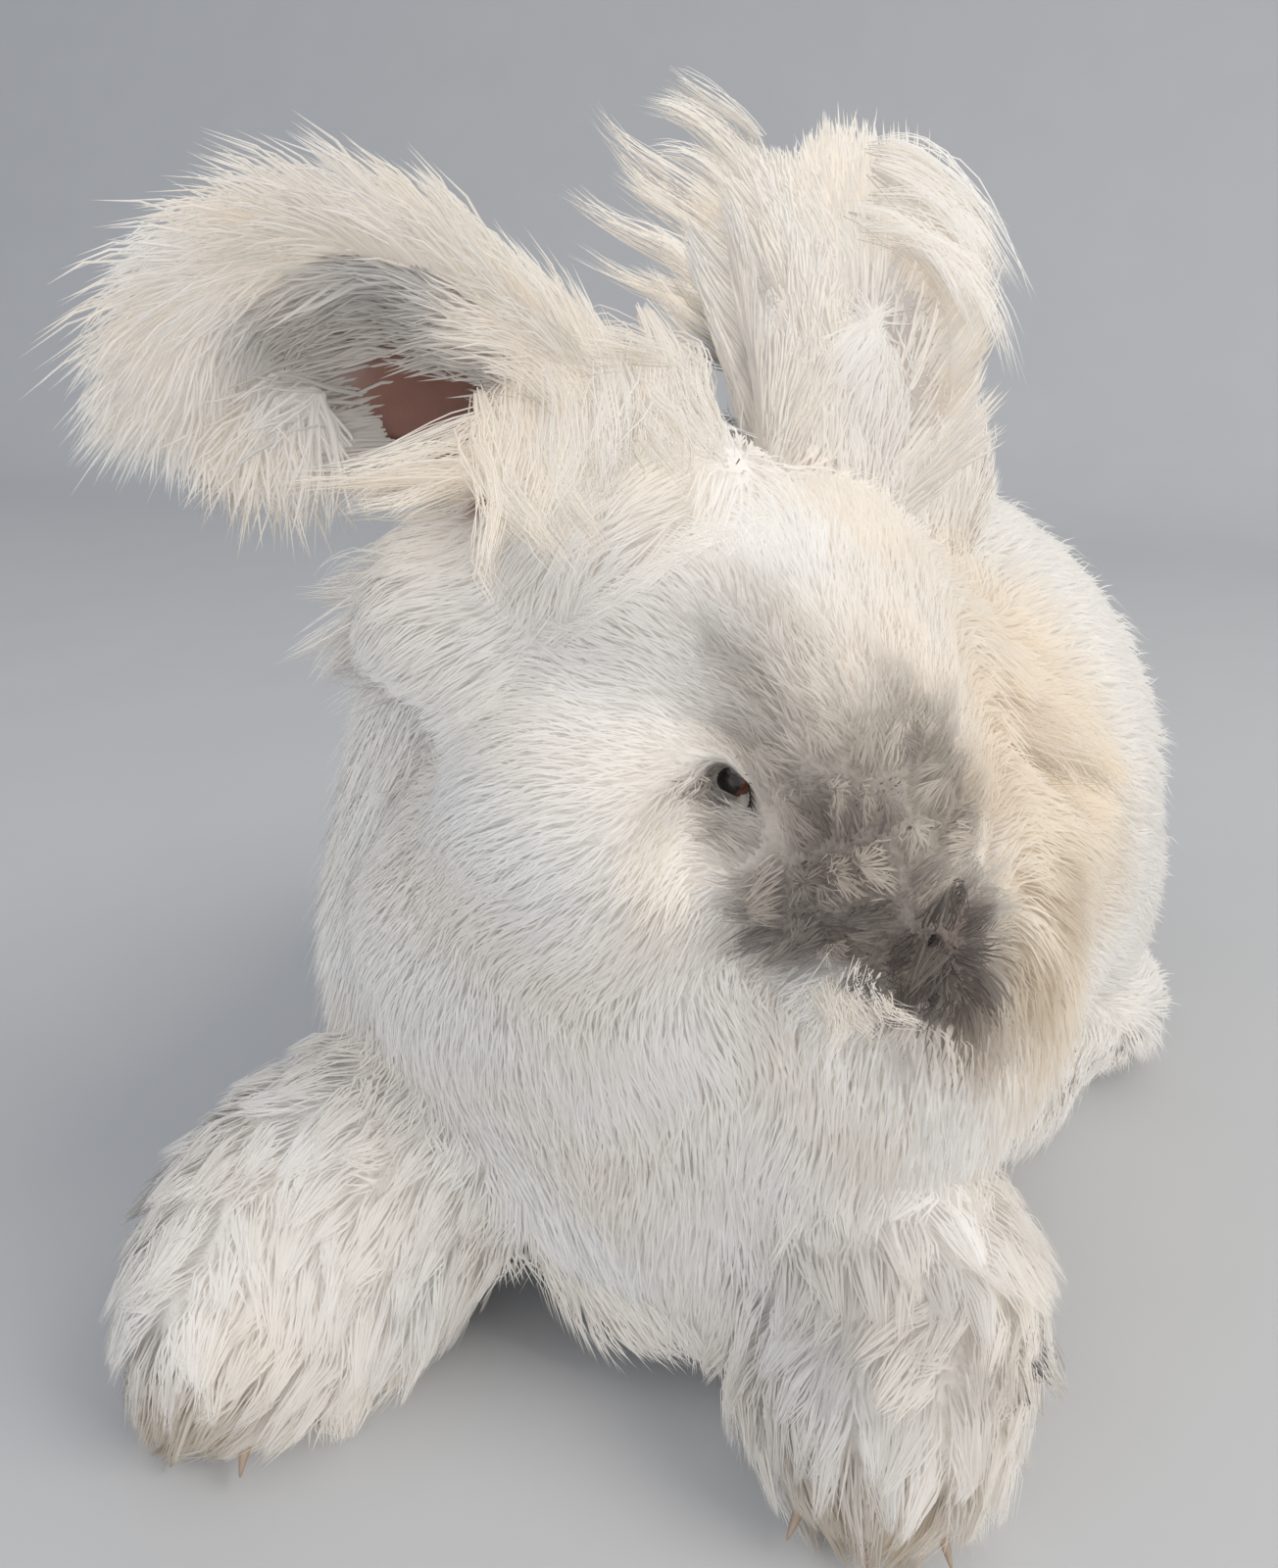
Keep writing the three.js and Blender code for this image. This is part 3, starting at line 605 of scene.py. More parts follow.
@dataclass(frozen=True)
class Markings:
    """Where the coat is smoke-grey, cream or stained; every value runs from 0 to 1.

    The patches of the mask go from the nose up the bridge and round the right eye. Of the
    browns of the face, those along the far lip are painted shade under the far cheek, one is a
    stain at the corner of the right eye and one a patch on the far brow. Smoke also carries
    painted shade on the lids and over the body behind the head, and cream in the hollow before
    the left ear.
    """

    head: Head
    MASK: ClassVar[tuple[Patch, ...]] = (
        Patch(vec(57, -2, -4), 10, 22, 1.0),
        Patch(vec(43, -20, -1), 8, 22, 0.9),
        Patch(vec(37, -5, 18), 8, 24, 0.66),
        Patch(vec(31, 8, 24), 3, 13, 0.5),
        Patch(vec(46, -6, 8), 5, 17, 0.55),
        Patch(vec(28, -20, 13), 6, 21, 0.62),
        Patch(vec(10, -20, 27), 2, 17, 0.45),
    )
    FACE_STAINS_AND_SHADE: ClassVar[tuple[Patch, ...]] = (
        # Painted shade along the far lip, under the far cheek.
        Patch(vec(69, 8, -15), 3, 10, 0.6),
        Patch(vec(65, 18, -7), 4, 12, 0.65),
        Patch(vec(57, 31, 0), 4, 14, 0.5),
        # A stain at the corner of the right eye, and a patch of brown on the far brow.
        Patch(vec(11, -28, 8), 2, 7, 0.8),
        Patch(vec(44, 13, 18), 3, 15, 0.4),
    )
    TOES: ClassVar[tuple[Array, ...]] = (vec(60, -140, 8), vec(-80, -166, 10))
    # Grey of each eye's lids: dark lid edges, in part painted shade in the bare hollow round the
    # eye.
    LID_SMOKE_AND_SHADE: ClassVar[dict[int, float]] = {-1: 0.85, 1: 0.35}

    def read(self, points: Array) -> dict[str, Array]:
        """Return the strength of each tone at the given places."""
        own = self.head.own(points)
        jitter = ripple(points, 9, 0.4) * 2.0 + ripple(points, 22, 2.0) * 3.0
        return {"smoke": self.smoke(points, own, jitter), "cream": self.cream(points, own, jitter),
                "stain": self.stain(points, own, jitter)}

    def smoke(self, points: Array, own: Array, jitter: Array) -> Array:
        """Return how grey each place is: the mask, both pairs of lids and the near foreleg.

        The mask gives way on the far side, under the chin, at the pale corner of the mouth and
        behind the right eye. The grey of the lids is in part painted shade in the bare hollows
        round the eyes, and the body behind the head is greyed a little as painted shade.
        """
        _, left, crown = own.T
        mouth_corner, eye_corner = vec(49, -14, -18), vec(10, -29, 6)
        smoke = np.zeros(len(points))
        for patch in self.MASK:
            smoke += (1 - smoke) * patch.read(own, jitter, vec(1.25, 1, 1))
        # Dark lids, in part painted shade in the bare hollow round each eye.
        for side, strength in self.LID_SMOKE_AND_SHADE.items():
            lids = distance(own, vec(16, 27 * side, 9))
            smoke = np.maximum(smoke, strength * (1 - ease(lids, 5, 8)))
        smoke *= 1 - 0.9 * ease(left + 0.7 * jitter, 3, 25) * ease(crown, -18, -4) * (lids > 9)
        smoke *= ease(crown + 0.4 * jitter, -32, -20)
        smoke *= 1 - Patch(mouth_corner, 6, 13, 0.95).read(own, 0.4 * jitter)
        smoke *= 1 - Patch(eye_corner, 2, 8, 0.7).read(own)
        # Painted shade: the body behind the head is greyed a little.
        smoke += 0.09 * self.behind(points) * (1 - smoke)
        foreleg = Patch(vec(58, -116, 44), 12, 36, 0.42)
        return np.maximum(smoke, foreleg.read(points, 1.6 * jitter, vec(1, 1, 10 / 9)))

    def cream(self, points: Array, own: Array, jitter: Array) -> Array:
        """Return how cream each place is: far cheek, brow and painted shade before the left ear."""
        ahead, left, crown = own.T
        in_head = ease(ahead, -40, 0) * (1 - ease(np.abs(left), 75, 90))
        cream = 0.9 * ease(left, 4, 22) * in_head * ease(crown, -45, -15)
        cream *= 1 - 0.6 * ease(crown + jitter, 22, 42)
        brow = Patch(vec(28, -3, 15), 22, 46, 0.5).read(own, jitter)
        # Painted shade: a warm cream in the shaded hollow before the left ear.
        hollow = Patch(vec(37, -74, 190), 8, 22, 0.5).read(points, jitter)
        clouds = 0.22 + 0.22 * ripple(points, 30, 1.2)
        cream = np.maximum.reduce([cream, brow, hollow, clouds])
        return np.clip(cream * (1 - 0.8 * self.behind(points)), 0, 1)

    def stain(self, points: Array, own: Array, jitter: Array) -> Array:
        """Return how brown each place is: the toes of the forefeet, painted shade along the far
        lip, a stain by the right eye and a patch on the far brow.
        """
        feet = [Patch(toes, 10, 30, 0.8).read(points, jitter, vec(1.25, 1, 1))
                for toes in self.TOES]
        face = [patch.read(own, 0.3 * jitter) for patch in self.FACE_STAINS_AND_SHADE]
        return np.maximum.reduce(feet + face)

    @staticmethod
    def behind(points: Array) -> Array:
        """Return 0 from the nose to behind the shoulders, rising to 1 over the body."""
        return ease(points[:, 1], -40, 0)


def tree_of(places: Array) -> KDTree:
    """Return a search tree that finds the nearest of the places, by its number."""
    tree = KDTree(len(places))
    for index, place in enumerate(places):
        tree.insert(place, index)
    tree.balance()
    return tree


class Field:
    """The lie, depth and style of the coat, carried from the forms to any place near them."""

    NEIGHBOURS = 5
    GRID = (44, 30)
    SHORTEST = 5.0

    def __init__(self, forms: dict[str, Form], depth: float) -> None:
        """Lay a cloud of known places over every form at that depth, without its two poles."""
        directions = sphere_directions(*self.GRID)[self.GRID[0]:-self.GRID[0]]
        places, lies, rows = [], [], []
        for form in forms.values():
            style = form.style
            skin = form.at(directions, depth)
            tips = form.at(directions, 1.0)
            far = form.at(unit(directions + style.lie * 0.08), depth)
            if style.away_from is not None:
                far = skin + unit(skin - style.away_from) - 0.45 * UP
            height = np.linalg.norm(tips - skin, axis=1) * style.stand
            places.append(skin)
            lies.append(unit(far - skin))
            rows.append(np.stack(np.broadcast_arrays(
                height, style.travel, style.width, style.dense, style.clump, style.wave), 1))
        self.lies = np.concatenate(lies)
        self.rows = np.concatenate(rows)
        self.tree = tree_of(np.concatenate(places))

    def read(self, points: Array) -> tuple[Array, Array, Array]:
        """Return the lie, the style row and the nearest distance at each point.

        Each is the mean of the nearest known places, weighed by 1 / (distance + 0.8)^2, and
        the wool is lower where the known places are far off.
        """
        found = [self.tree.find_n(point, self.NEIGHBOURS) for point in points]
        index = np.array([[hit[1] for hit in hits] for hits in found])
        away = np.array([[hit[2] for hit in hits] for hits in found])
        weight = 1 / (away + 0.8) ** 2
        weight = (weight / weight.sum(1, keepdims=True))[..., None]
        lie = unit((self.lies[index] * weight).sum(1))
        rows = (self.rows[index] * weight).sum(1)
        least = np.minimum(rows[:, 0], self.SHORTEST)
        rows[:, 0] = np.maximum(rows[:, 0] - 0.7 * away[:, 0], least)
        return lie, rows, away[:, 0]


def new_object(name: str, data: ID) -> Object:
    """Put a mesh, a lamp or a camera into the scene as one object at the origin."""
    piece = bpy.data.objects.new(name, data)
    bpy.context.scene.collection.objects.link(piece)
    return piece


def new_mesh(name: str, points: Array, faces: list[tuple[int, ...]]) -> Mesh:
    """Return a new mesh of the points and faces."""
    mesh = bpy.data.meshes.new(name)
    mesh.from_pydata(points.tolist(), [], faces)
    return mesh


def together(shells: list[Shell]) -> Shell:
    """Return several shells as one."""
    points, faces, start = [], [], 0
    for shell_points, shell_faces in shells:
        points.append(shell_points)
        faces += [tuple(index + start for index in face) for face in shell_faces]
        start += len(shell_points)
    return np.concatenate(points), faces


def smooth_shade(mesh: Mesh) -> None:
    """Shade every face of a mesh smoothly."""
    mesh.polygons.foreach_set("use_smooth", np.ones(len(mesh.polygons), bool))
    mesh.update()


def outward_facing(mesh: Mesh) -> Mesh:
    """Turn every face of a closed mesh outwards."""
    work = bmesh.new()
    work.from_mesh(mesh)
    bmesh.ops.recalc_face_normals(work, faces=work.faces)
    work.to_mesh(mesh)
    work.free()
    return mesh


def set_values(mesh: Mesh, values: dict[str, Array]) -> None:
    """Write one number per vertex for each named attribute."""
    for name, numbers in values.items():
        layer = mesh.attributes.new(name, "FLOAT", "POINT")
        layer.data.foreach_set("value", np.ascontiguousarray(numbers, np.float32))


def set_map(mesh: Mesh, uv: Array) -> None:
    """Give a mesh its OFBake map, with one place for each corner of a face."""
    layer = mesh.uv_layers.new(name="OFBake")
    layer.data.foreach_set("uv", uv.astype(np.float32).ravel())


def read_all(items: bpy_prop_collection, what: str, width: int, kind: type = np.float32) -> Array:
    """Return one setting of every item, as a row of that width for each item."""
    read = np.empty(len(items) * width, kind)
    items.foreach_get(what, read)
    return read.reshape(-1, width)


def vertices_of(mesh: Mesh, what: str = "co") -> Array:
    """Return the places or the normals of a mesh's vertices."""
    return read_all(mesh.vertices, what, 3).astype(float)


def move_vertices(mesh: Mesh, points: Array) -> None:
    """Move a mesh's vertices to the points."""
    mesh.vertices.foreach_set("co", points.astype(np.float32).ravel())
    mesh.update()


class Neighbours:
    """Which vertices of a mesh share an edge with each vertex."""

    def __init__(self, mesh: Mesh) -> None:
        """Read the edges, and count them at each vertex."""
        self.start, self.end = read_all(mesh.edges, "vertices", 2, np.int32).T
        count = np.bincount(np.append(self.start, self.end), minlength=len(mesh.vertices))
        self.count = column(np.maximum(count, 1))

    def mean(self, table: Array) -> Array:
        """Return the mean row of the table over the neighbours of each vertex."""
        size = len(table)
        total = [np.bincount(self.start, values[self.end], size)
                 + np.bincount(self.end, values[self.start], size) for values in table.T]
        return np.stack(total, 1) / self.count


@dataclass
class Skin:
    """One seamless skin under the coat, with the muzzle, lids and ear cups of the head.

    Depth is the share of the wool's depth that it stands for, the voxels are the grids of the
    skin and of the mass inside it, and fill is how far the mass is grown and drawn back.
    """

    animal: Animal
    placing: Placing
    markings: Markings
    depth: float = 0.74
    voxel: float = 2.3
    mass_voxel: float = 6.0
    ear_thinner: float = 1.0
    fill: float = 32.0
    fill_steps: int = 16
    tile: float = 0.42
    SLENDER: ClassVar[tuple[str, ...]] = ("skull", "fore", "hind", "tail", "crown", "muff", "ruff")

    def build(self) -> Object:
        """Join the forms, remesh them as one skin, refine the face and mark its tones."""
        mesh = self.joined([self.mass(), *self.shells()], self.voxel)
        self.smooth(mesh, 5)
        self.smooth(mesh, 30, self.fine_places(vertices_of(mesh)))
        for reach in (1.0, 0.72):
            self.refine(mesh, reach)
        self.smooth(mesh, 2)
        self.carve(mesh)
        points = vertices_of(mesh)
        tones = self.markings.read(points)
        tones["pink"], haired = self.cups(points, vertices_of(mesh, "normal"))
        # Painted shade: the skin of the thinly haired upper half of an ear's cup is darkened
        # grey-brown.
        tones["smoke"] = np.maximum(tones["smoke"], 0.35 * haired)
        tones["stain"] = np.maximum(tones["stain"], 0.5 * haired)
        set_values(mesh, tones)
        move_vertices(mesh, self.placing.metres(points))
        smooth_shade(mesh)
        self.unwrap(mesh)
        return new_object("skin", mesh)

    def mass(self) -> Shell:
        """Return the body and cheeks as one rounded mass whose creases are filled.

        The forms and three blobs inside the head are grown by fill, joined, and drawn back in
        along their normals by as much, which leaves round parts alone and bridges the creases.
        """
        head = self.animal.head
        grown = [form.shell(self.depth, self.fill) for name, form in self.animal.forms().items()
                 if not name.startswith(self.SLENDER)]
        for ahead, left, crown, radii in ((-24, 0, 3, (24, 31, 27)), (18, 2, 8, (34, 24, 18)),
                                          (26, -14, -5, (24, 15, 15))):
            grown.append(head.blob(ahead, left, crown, tuple(r + self.fill for r in radii)))
        mesh = self.joined(grown, self.mass_voxel)
        self.smooth(mesh, 6)
        for _ in range(self.fill_steps):
            inward = vertices_of(mesh, "normal") * self.fill / self.fill_steps
            move_vertices(mesh, vertices_of(mesh) - inward)
            self.smooth(mesh, 1)
        return vertices_of(mesh), [tuple(face.vertices) for face in mesh.polygons]

    def shells(self) -> list[Shell]:
        """Return the closed surface of every form of the body, ears and face."""
        return [
            *(form.shell(self.depth) for form in self.animal.forms().values()),
            *(ear.shell(self.ear_thinner) for ear in self.animal.ears().values()),
            *self.animal.head.features(),
        ]

    def joined(self, shells: list[Shell], voxel: float) -> Mesh:
        """Return one closed mesh round all the shells, remeshed on a cubic grid."""
        body = new_object("shells", new_mesh("shells", *together(shells)))
        grid = body.modifiers.new("grid", "REMESH")
        grid.mode = "VOXEL"
        grid.voxel_size = voxel
        seen = body.evaluated_get(bpy.context.evaluated_depsgraph_get())
        skin = bpy.data.meshes.new_from_object(seen)
        bpy.data.objects.remove(body)
        skin.name = "skin"
        return skin

    def fine_places(self, points: Array) -> Array:
        """Return how far each place belongs to the face or an ear, which stay crisp."""
        head = self.animal.head
        near = distance(head.own(points), vec(48, 0, -8), vec(1.1, 1, 1))
        fine = 1 - ease(near, 22, 34)
        for side in (-1, 1):
            fine = np.maximum(fine, 1 - ease(distance(points, head.eye(side)), 12, 20))
        for ear in self.animal.ears().values():
            spine, _ = ear.spine.at(np.linspace(0.2, 1, 40))
            away = distance(points[:, None], spine[None]).min(1)
            fine = np.maximum(fine, 1 - ease(away, 24, 30))
        return fine

    def smooth(self, mesh: Mesh, rounds: int, held: Array | None = None) -> None:
        """Move each vertex half way to the middle of its neighbours, a few times over.

        Held is how firmly each vertex stays where it is, from 0 to 1.
        """
        near = Neighbours(mesh)
        points = vertices_of(mesh)
        free = 1.0 if held is None else column(1 - held)
        for _ in range(rounds):
            points += 0.5 * free * (near.mean(points) - points)
        points[:, 2] = np.maximum(points[:, 2], 0)
        move_vertices(mesh, points)

    def refine(self, mesh: Mesh, reach: float) -> None:
        """Halve the edges of the muzzle and round the eyes, within a share of their reach."""
        head = self.animal.head
        points = vertices_of(mesh)
        near = distance(points, head.at(head.nose_reach - 6, 0, -8)) < 24 * reach
        for side in (-1, 1):
            lids = head.at(head.eye_forward, side * (head.eye_spread + 7), head.eye_rise)
            near |= distance(points, lids) < 14 * reach
        work = bmesh.new()
        work.from_mesh(mesh)
        chosen = [edge for edge in work.edges
                  if near[edge.verts[0].index] and near[edge.verts[1].index]]
        bmesh.ops.subdivide_edges(work, edges=chosen, cuts=1, use_grid_fill=True)
        work.to_mesh(mesh)
        work.free()
        mesh.update()

    def carve(self, mesh: Mesh) -> None:
        """Sink the slits between the lids, the nostrils, the cleft lip and the mouth line."""
        head = self.animal.head
        points = vertices_of(mesh)
        normals = vertices_of(mesh, "normal")
        for side in (-1, 1):
            points = self.press_lids(points, side)
            own = head.own(points)
            points = self.open_lids(points, own, side)
            nostril = own - vec(head.nose_reach + 1.5, side * 4.4, 0.5)
            nostril[:, 2] += np.abs(nostril[:, 1]) * 0.5
            depth = 1 - ease(distance(nostril, vec(0, 0, 0), vec(5, 1.5, 2.6)), 0.5, 1.1)
            points = points - column(3.2 * depth) * head.ahead
        move_vertices(mesh, points - normals * column(self.mouth_depth(own)))

    def press_lids(self, points: Array, side: int) -> Array:
        """Return the points with what stands out before an eye pressed back to its lids."""
        head = self.animal.head
        view = unit(head.left * side + head.ahead * 0.7 + head.crown * 0.12)
        away = points - head.eye(side)
        out = away @ view
        wide = distance(away, column(out) * view)
        over = np.maximum(out - (head.lid_radius - 0.4 + 0.09 * wide ** 2), 0)
        return points - column(over * (out > 0) * (1 - ease(wide, 9, 15))) * view

    def open_lids(self, points: Array, own: Array, side: int) -> Array:
        """Return the points with the slit between the lids sunk into the eye, in a raised rim.

        Own are the same points in the head's own directions.
        """
        head = self.animal.head
        eye = head.eye(side)
        slit = vec(head.eye_forward + 2.5, side * (head.eye_spread + head.eye_radius),
                   head.eye_rise + 1.5)
        rim = distance(own, slit, np.array(head.lid_opening))
        away = unit(points - eye)
        sunk = eye + away * (head.eye_radius - 1.4)
        opened = points + column(1 - ease(rim, 0.78, 1.05)) * (sunk - points)
        return opened + column(0.7 * np.exp(-((rim - 1.12) / 0.12) ** 2)) * away

    @staticmethod
    def mouth_depth(own: Array) -> Array:
        """Return how deep the cleft lip and the mouth line are, in the head's own directions."""
        ahead, left, crown = own.T
        cleft = np.exp(-(left / 0.9) ** 2) * ease(ahead, 52, 58)
        cleft *= 1 - ease(np.abs(crown + 9), 5, 8)
        mouth = np.exp(-((crown + 17 + 0.01 * left ** 2) / 1.1) ** 2)
        mouth *= ease(ahead, 34, 42) * (1 - ease(np.abs(left), 12, 18))
        return 2.0 * cleft + 2.4 * mouth

    def cups(self, points: Array, normals: Array) -> tuple[Array, Array]:
        """Return how bare and pinkish each place is, and how thinly haired.

        The lower half of an ear's cup is bare and its upper half thinly haired, the left one
        only a little; the end of the nose is faintly pink.
        """
        head = self.animal.head
        pink, haired = np.zeros(len(points)), np.zeros(len(points))
        for name, ear in self.animal.ears().items():
            places = np.linspace(0.06, 0.94, 60)
            spine, _, _, inward = ear.frame(places)
            away = distance(points[:, None], spine[None])
            near = away.argmin(1)
            inner = ease((normals * inward[near]).sum(1), 0.0, 0.35)
            inner *= 1 - ease(away.min(1), ear.half_width, ear.half_width * 1.3)
            inner *= 1.0 if name == "right" else 0.3
            place = places[near]
            pink = np.maximum(pink, inner * ease(place, 0.16, 0.24) * (1 - ease(place, 0.5, 0.7)))
            haired = np.maximum(haired, inner * ease(place, 0.4, 0.6))
        nose = distance(head.own(points), vec(head.nose_reach + 1, 0, 0.5), vec(5, 6.5, 4.6))
        return np.maximum(pink, 0.12 * (1 - ease(nose, 0.8, 1.15))), haired

    def unwrap(self, mesh: Mesh) -> None:
        """Unfold the skin: each face goes to the tile of the way it faces, by its own place.

        The six ways out of the body are split in two by the height of the head, so that the
        tiles of the head, the ears and the rump do not lie over one another. The tiles lie in
        four columns and three rows, and each shows a square of the given size in metres.
        """
        columns, rows = 4, 3
        corner = read_all(mesh.loops, "vertex_index", 1, np.int32)[:, 0]
        totals = read_all(mesh.polygons, "loop_total", 1, np.int32)[:, 0]
        normal = read_all(mesh.polygons, "normal", 3)
        centre = read_all(mesh.polygons, "center", 3)
        axis = np.abs(normal).argmax(1)
        tile = axis * 2 + (normal[np.arange(len(axis)), axis] > 0)
        tile = tile + 6 * (centre[:, 2] > 0.13) * (centre[:, 1] < 0.0)
        tile, axis = np.repeat(tile, totals), np.repeat(axis, totals)
        place = (vertices_of(mesh)[corner] + vec(0.2, 0.2, 0.01)) / self.tile
        first = np.where(axis == 0, place[:, 1], place[:, 0])
        second = np.where(axis == 2, place[:, 1], place[:, 2])
        set_map(mesh, np.stack([(tile % columns + np.clip(first, 0.01, 0.99)) / columns,
                                (tile // columns + np.clip(second, 0.01, 0.99)) / rows], 1))


@dataclass
class Tufts:
    """Tufts ready to be made: rows of ring centres with the last one at the tip.

    Flat is how thin a tuft is for its width. Lean is how far its shading normals lean to the
    coat's own at the root, and fade the share of that which is lost towards the tip.
    """

    paths: Array
    widths: Array
    normals: Array
    roots_uv: Array
    tones: dict[str, Array]
    flat: float = 0.4
    lean: float = 0.94
    fade: float = 0.1

    def part(self, chosen: Array) -> "Tufts":
        """Return only the chosen tufts."""
        return replace(
            self, paths=self.paths[chosen], widths=self.widths[chosen],
            normals=self.normals[chosen], roots_uv=self.roots_uv[chosen],
            tones={name: values[chosen] for name, values in self.tones.items()})


def tuft_object(name: str, tufts: Tufts, placing: Placing) -> Object:
    """Make closed three-sided tapered tufts along their paths.

    Ring r of a tuft is three points, path + across * w cos a + outward * w flat sin a, at
    a = 90, 210 and 330 degrees, with w = width * (0.72 + 0.9 s - 1.35 s^2) / 2 at its share s;
    the tip is one point and the root a triangle. Shading normals lean towards the coat's own,
    so that it reads as one soft surface with a broken edge.
    """
    paths = tufts.paths
    count, rings = paths.shape[:2]
    tangent = unit(np.gradient(paths, axis=1))
    across = unit(np.cross(tufts.normals[:, None], tangent))
    outward = np.cross(tangent, across)
    share = np.linspace(0, 1, rings)
    profile = (0.72 + 0.9 * share - 1.35 * share ** 2)[:-1]
    width = tufts.widths[:, None] * profile
    angle = np.radians([90, 210, 330])
    spoke = (across[:, :-1, None] * np.cos(angle)[:, None]
             + outward[:, :-1, None] * (np.sin(angle)[:, None] * tufts.flat))
    ring = paths[:, :-1, None] + spoke * width[..., None, None] * 0.5
    stride = 3 * (rings - 1) + 1
    points = np.concatenate([ring.reshape(count, -1, 3), paths[:, -1:]], 1)
    lean = (tufts.lean * (1 - tufts.fade * share[:-1]))[:, None, None]
    ring_normal = unit(unit(spoke) * (1 - lean) + tufts.normals[:, None, None] * lean)
    tip_normal = unit(tangent[:, -1:] * 0.3 + tufts.normals[:, None])
    normals = np.concatenate([ring_normal.reshape(count, -1, 3), tip_normal], 1).reshape(-1, 3)
    corners = [(0, 2, 1)]
    for step in range(rings - 2):
        for side in range(3):
            a, b = 3 * step + side, 3 * step + (side + 1) % 3
            corners += [(a, b, b + 3), (a, b + 3, a + 3)]
    last = 3 * (rings - 2)
    corners += [(last + side, last + (side + 1) % 3, stride - 1) for side in range(3)]
    corners = np.array(corners, np.int32)
    starts = np.arange(count, dtype=np.int32) * stride
    faces = (corners[None] + starts[:, None, None]).reshape(-1, 3)
    mesh = bpy.data.meshes.new(name)
    mesh.vertices.add(count * stride)
    places = placing.metres(points.reshape(-1, 3))
    mesh.vertices.foreach_set("co", places.astype(np.float32).ravel())
    mesh.loops.add(faces.size)
    mesh.loops.foreach_set("vertex_index", faces.ravel())
    mesh.polygons.add(len(faces))
    mesh.polygons.foreach_set("loop_start", np.arange(0, faces.size, 3, dtype=np.int32))
    mesh.polygons.foreach_set("use_smooth", np.ones(len(faces), bool))
    mesh.update(calc_edges=True)
    up_tuft = np.append(np.repeat(share[:-1], 3), 1.0)
    round_tuft = np.append(np.tile([0.0, 0.5, 1.0], rings - 1), 0.5)
    patch = PATCH_SIZE * (np.stack([round_tuft, up_tuft], 1) - 0.5)
    uv = (tufts.roots_uv[:, None] + patch[None]).reshape(-1, 2)
    set_map(mesh, uv[faces.ravel()])
    values = {tone: np.repeat(numbers, stride) for tone, numbers in tufts.tones.items()}
    values |= {"along": np.tile(up_tuft, count), "around": np.tile(round_tuft, count)}
    set_values(mesh, values)
    mesh.normals_split_custom_set_from_vertices(normals)
    return new_object(name, mesh)


class CoatPart(Enum):
    """The parts that the coat is split into, each under 200,000 triangles."""

    HEAD = "head"
    CROWN = "crown"
    CHEEKS = "cheeks"
    BIB = "bib"
    LEGS = "legs"
    FLANKS = "flanks"
    BACK = "back"
    RUMP = "rump"


def clump_of(at: Array, chance: np.random.Generator, every: int) -> Array:
    """Return for each root the nearest of the few roots that clumps gather round."""
    centres = chance.choice(len(at), len(at) // every, replace=False)
    tree = tree_of(at[centres])
    return centres[[tree.find(place)[1] for place in at]]


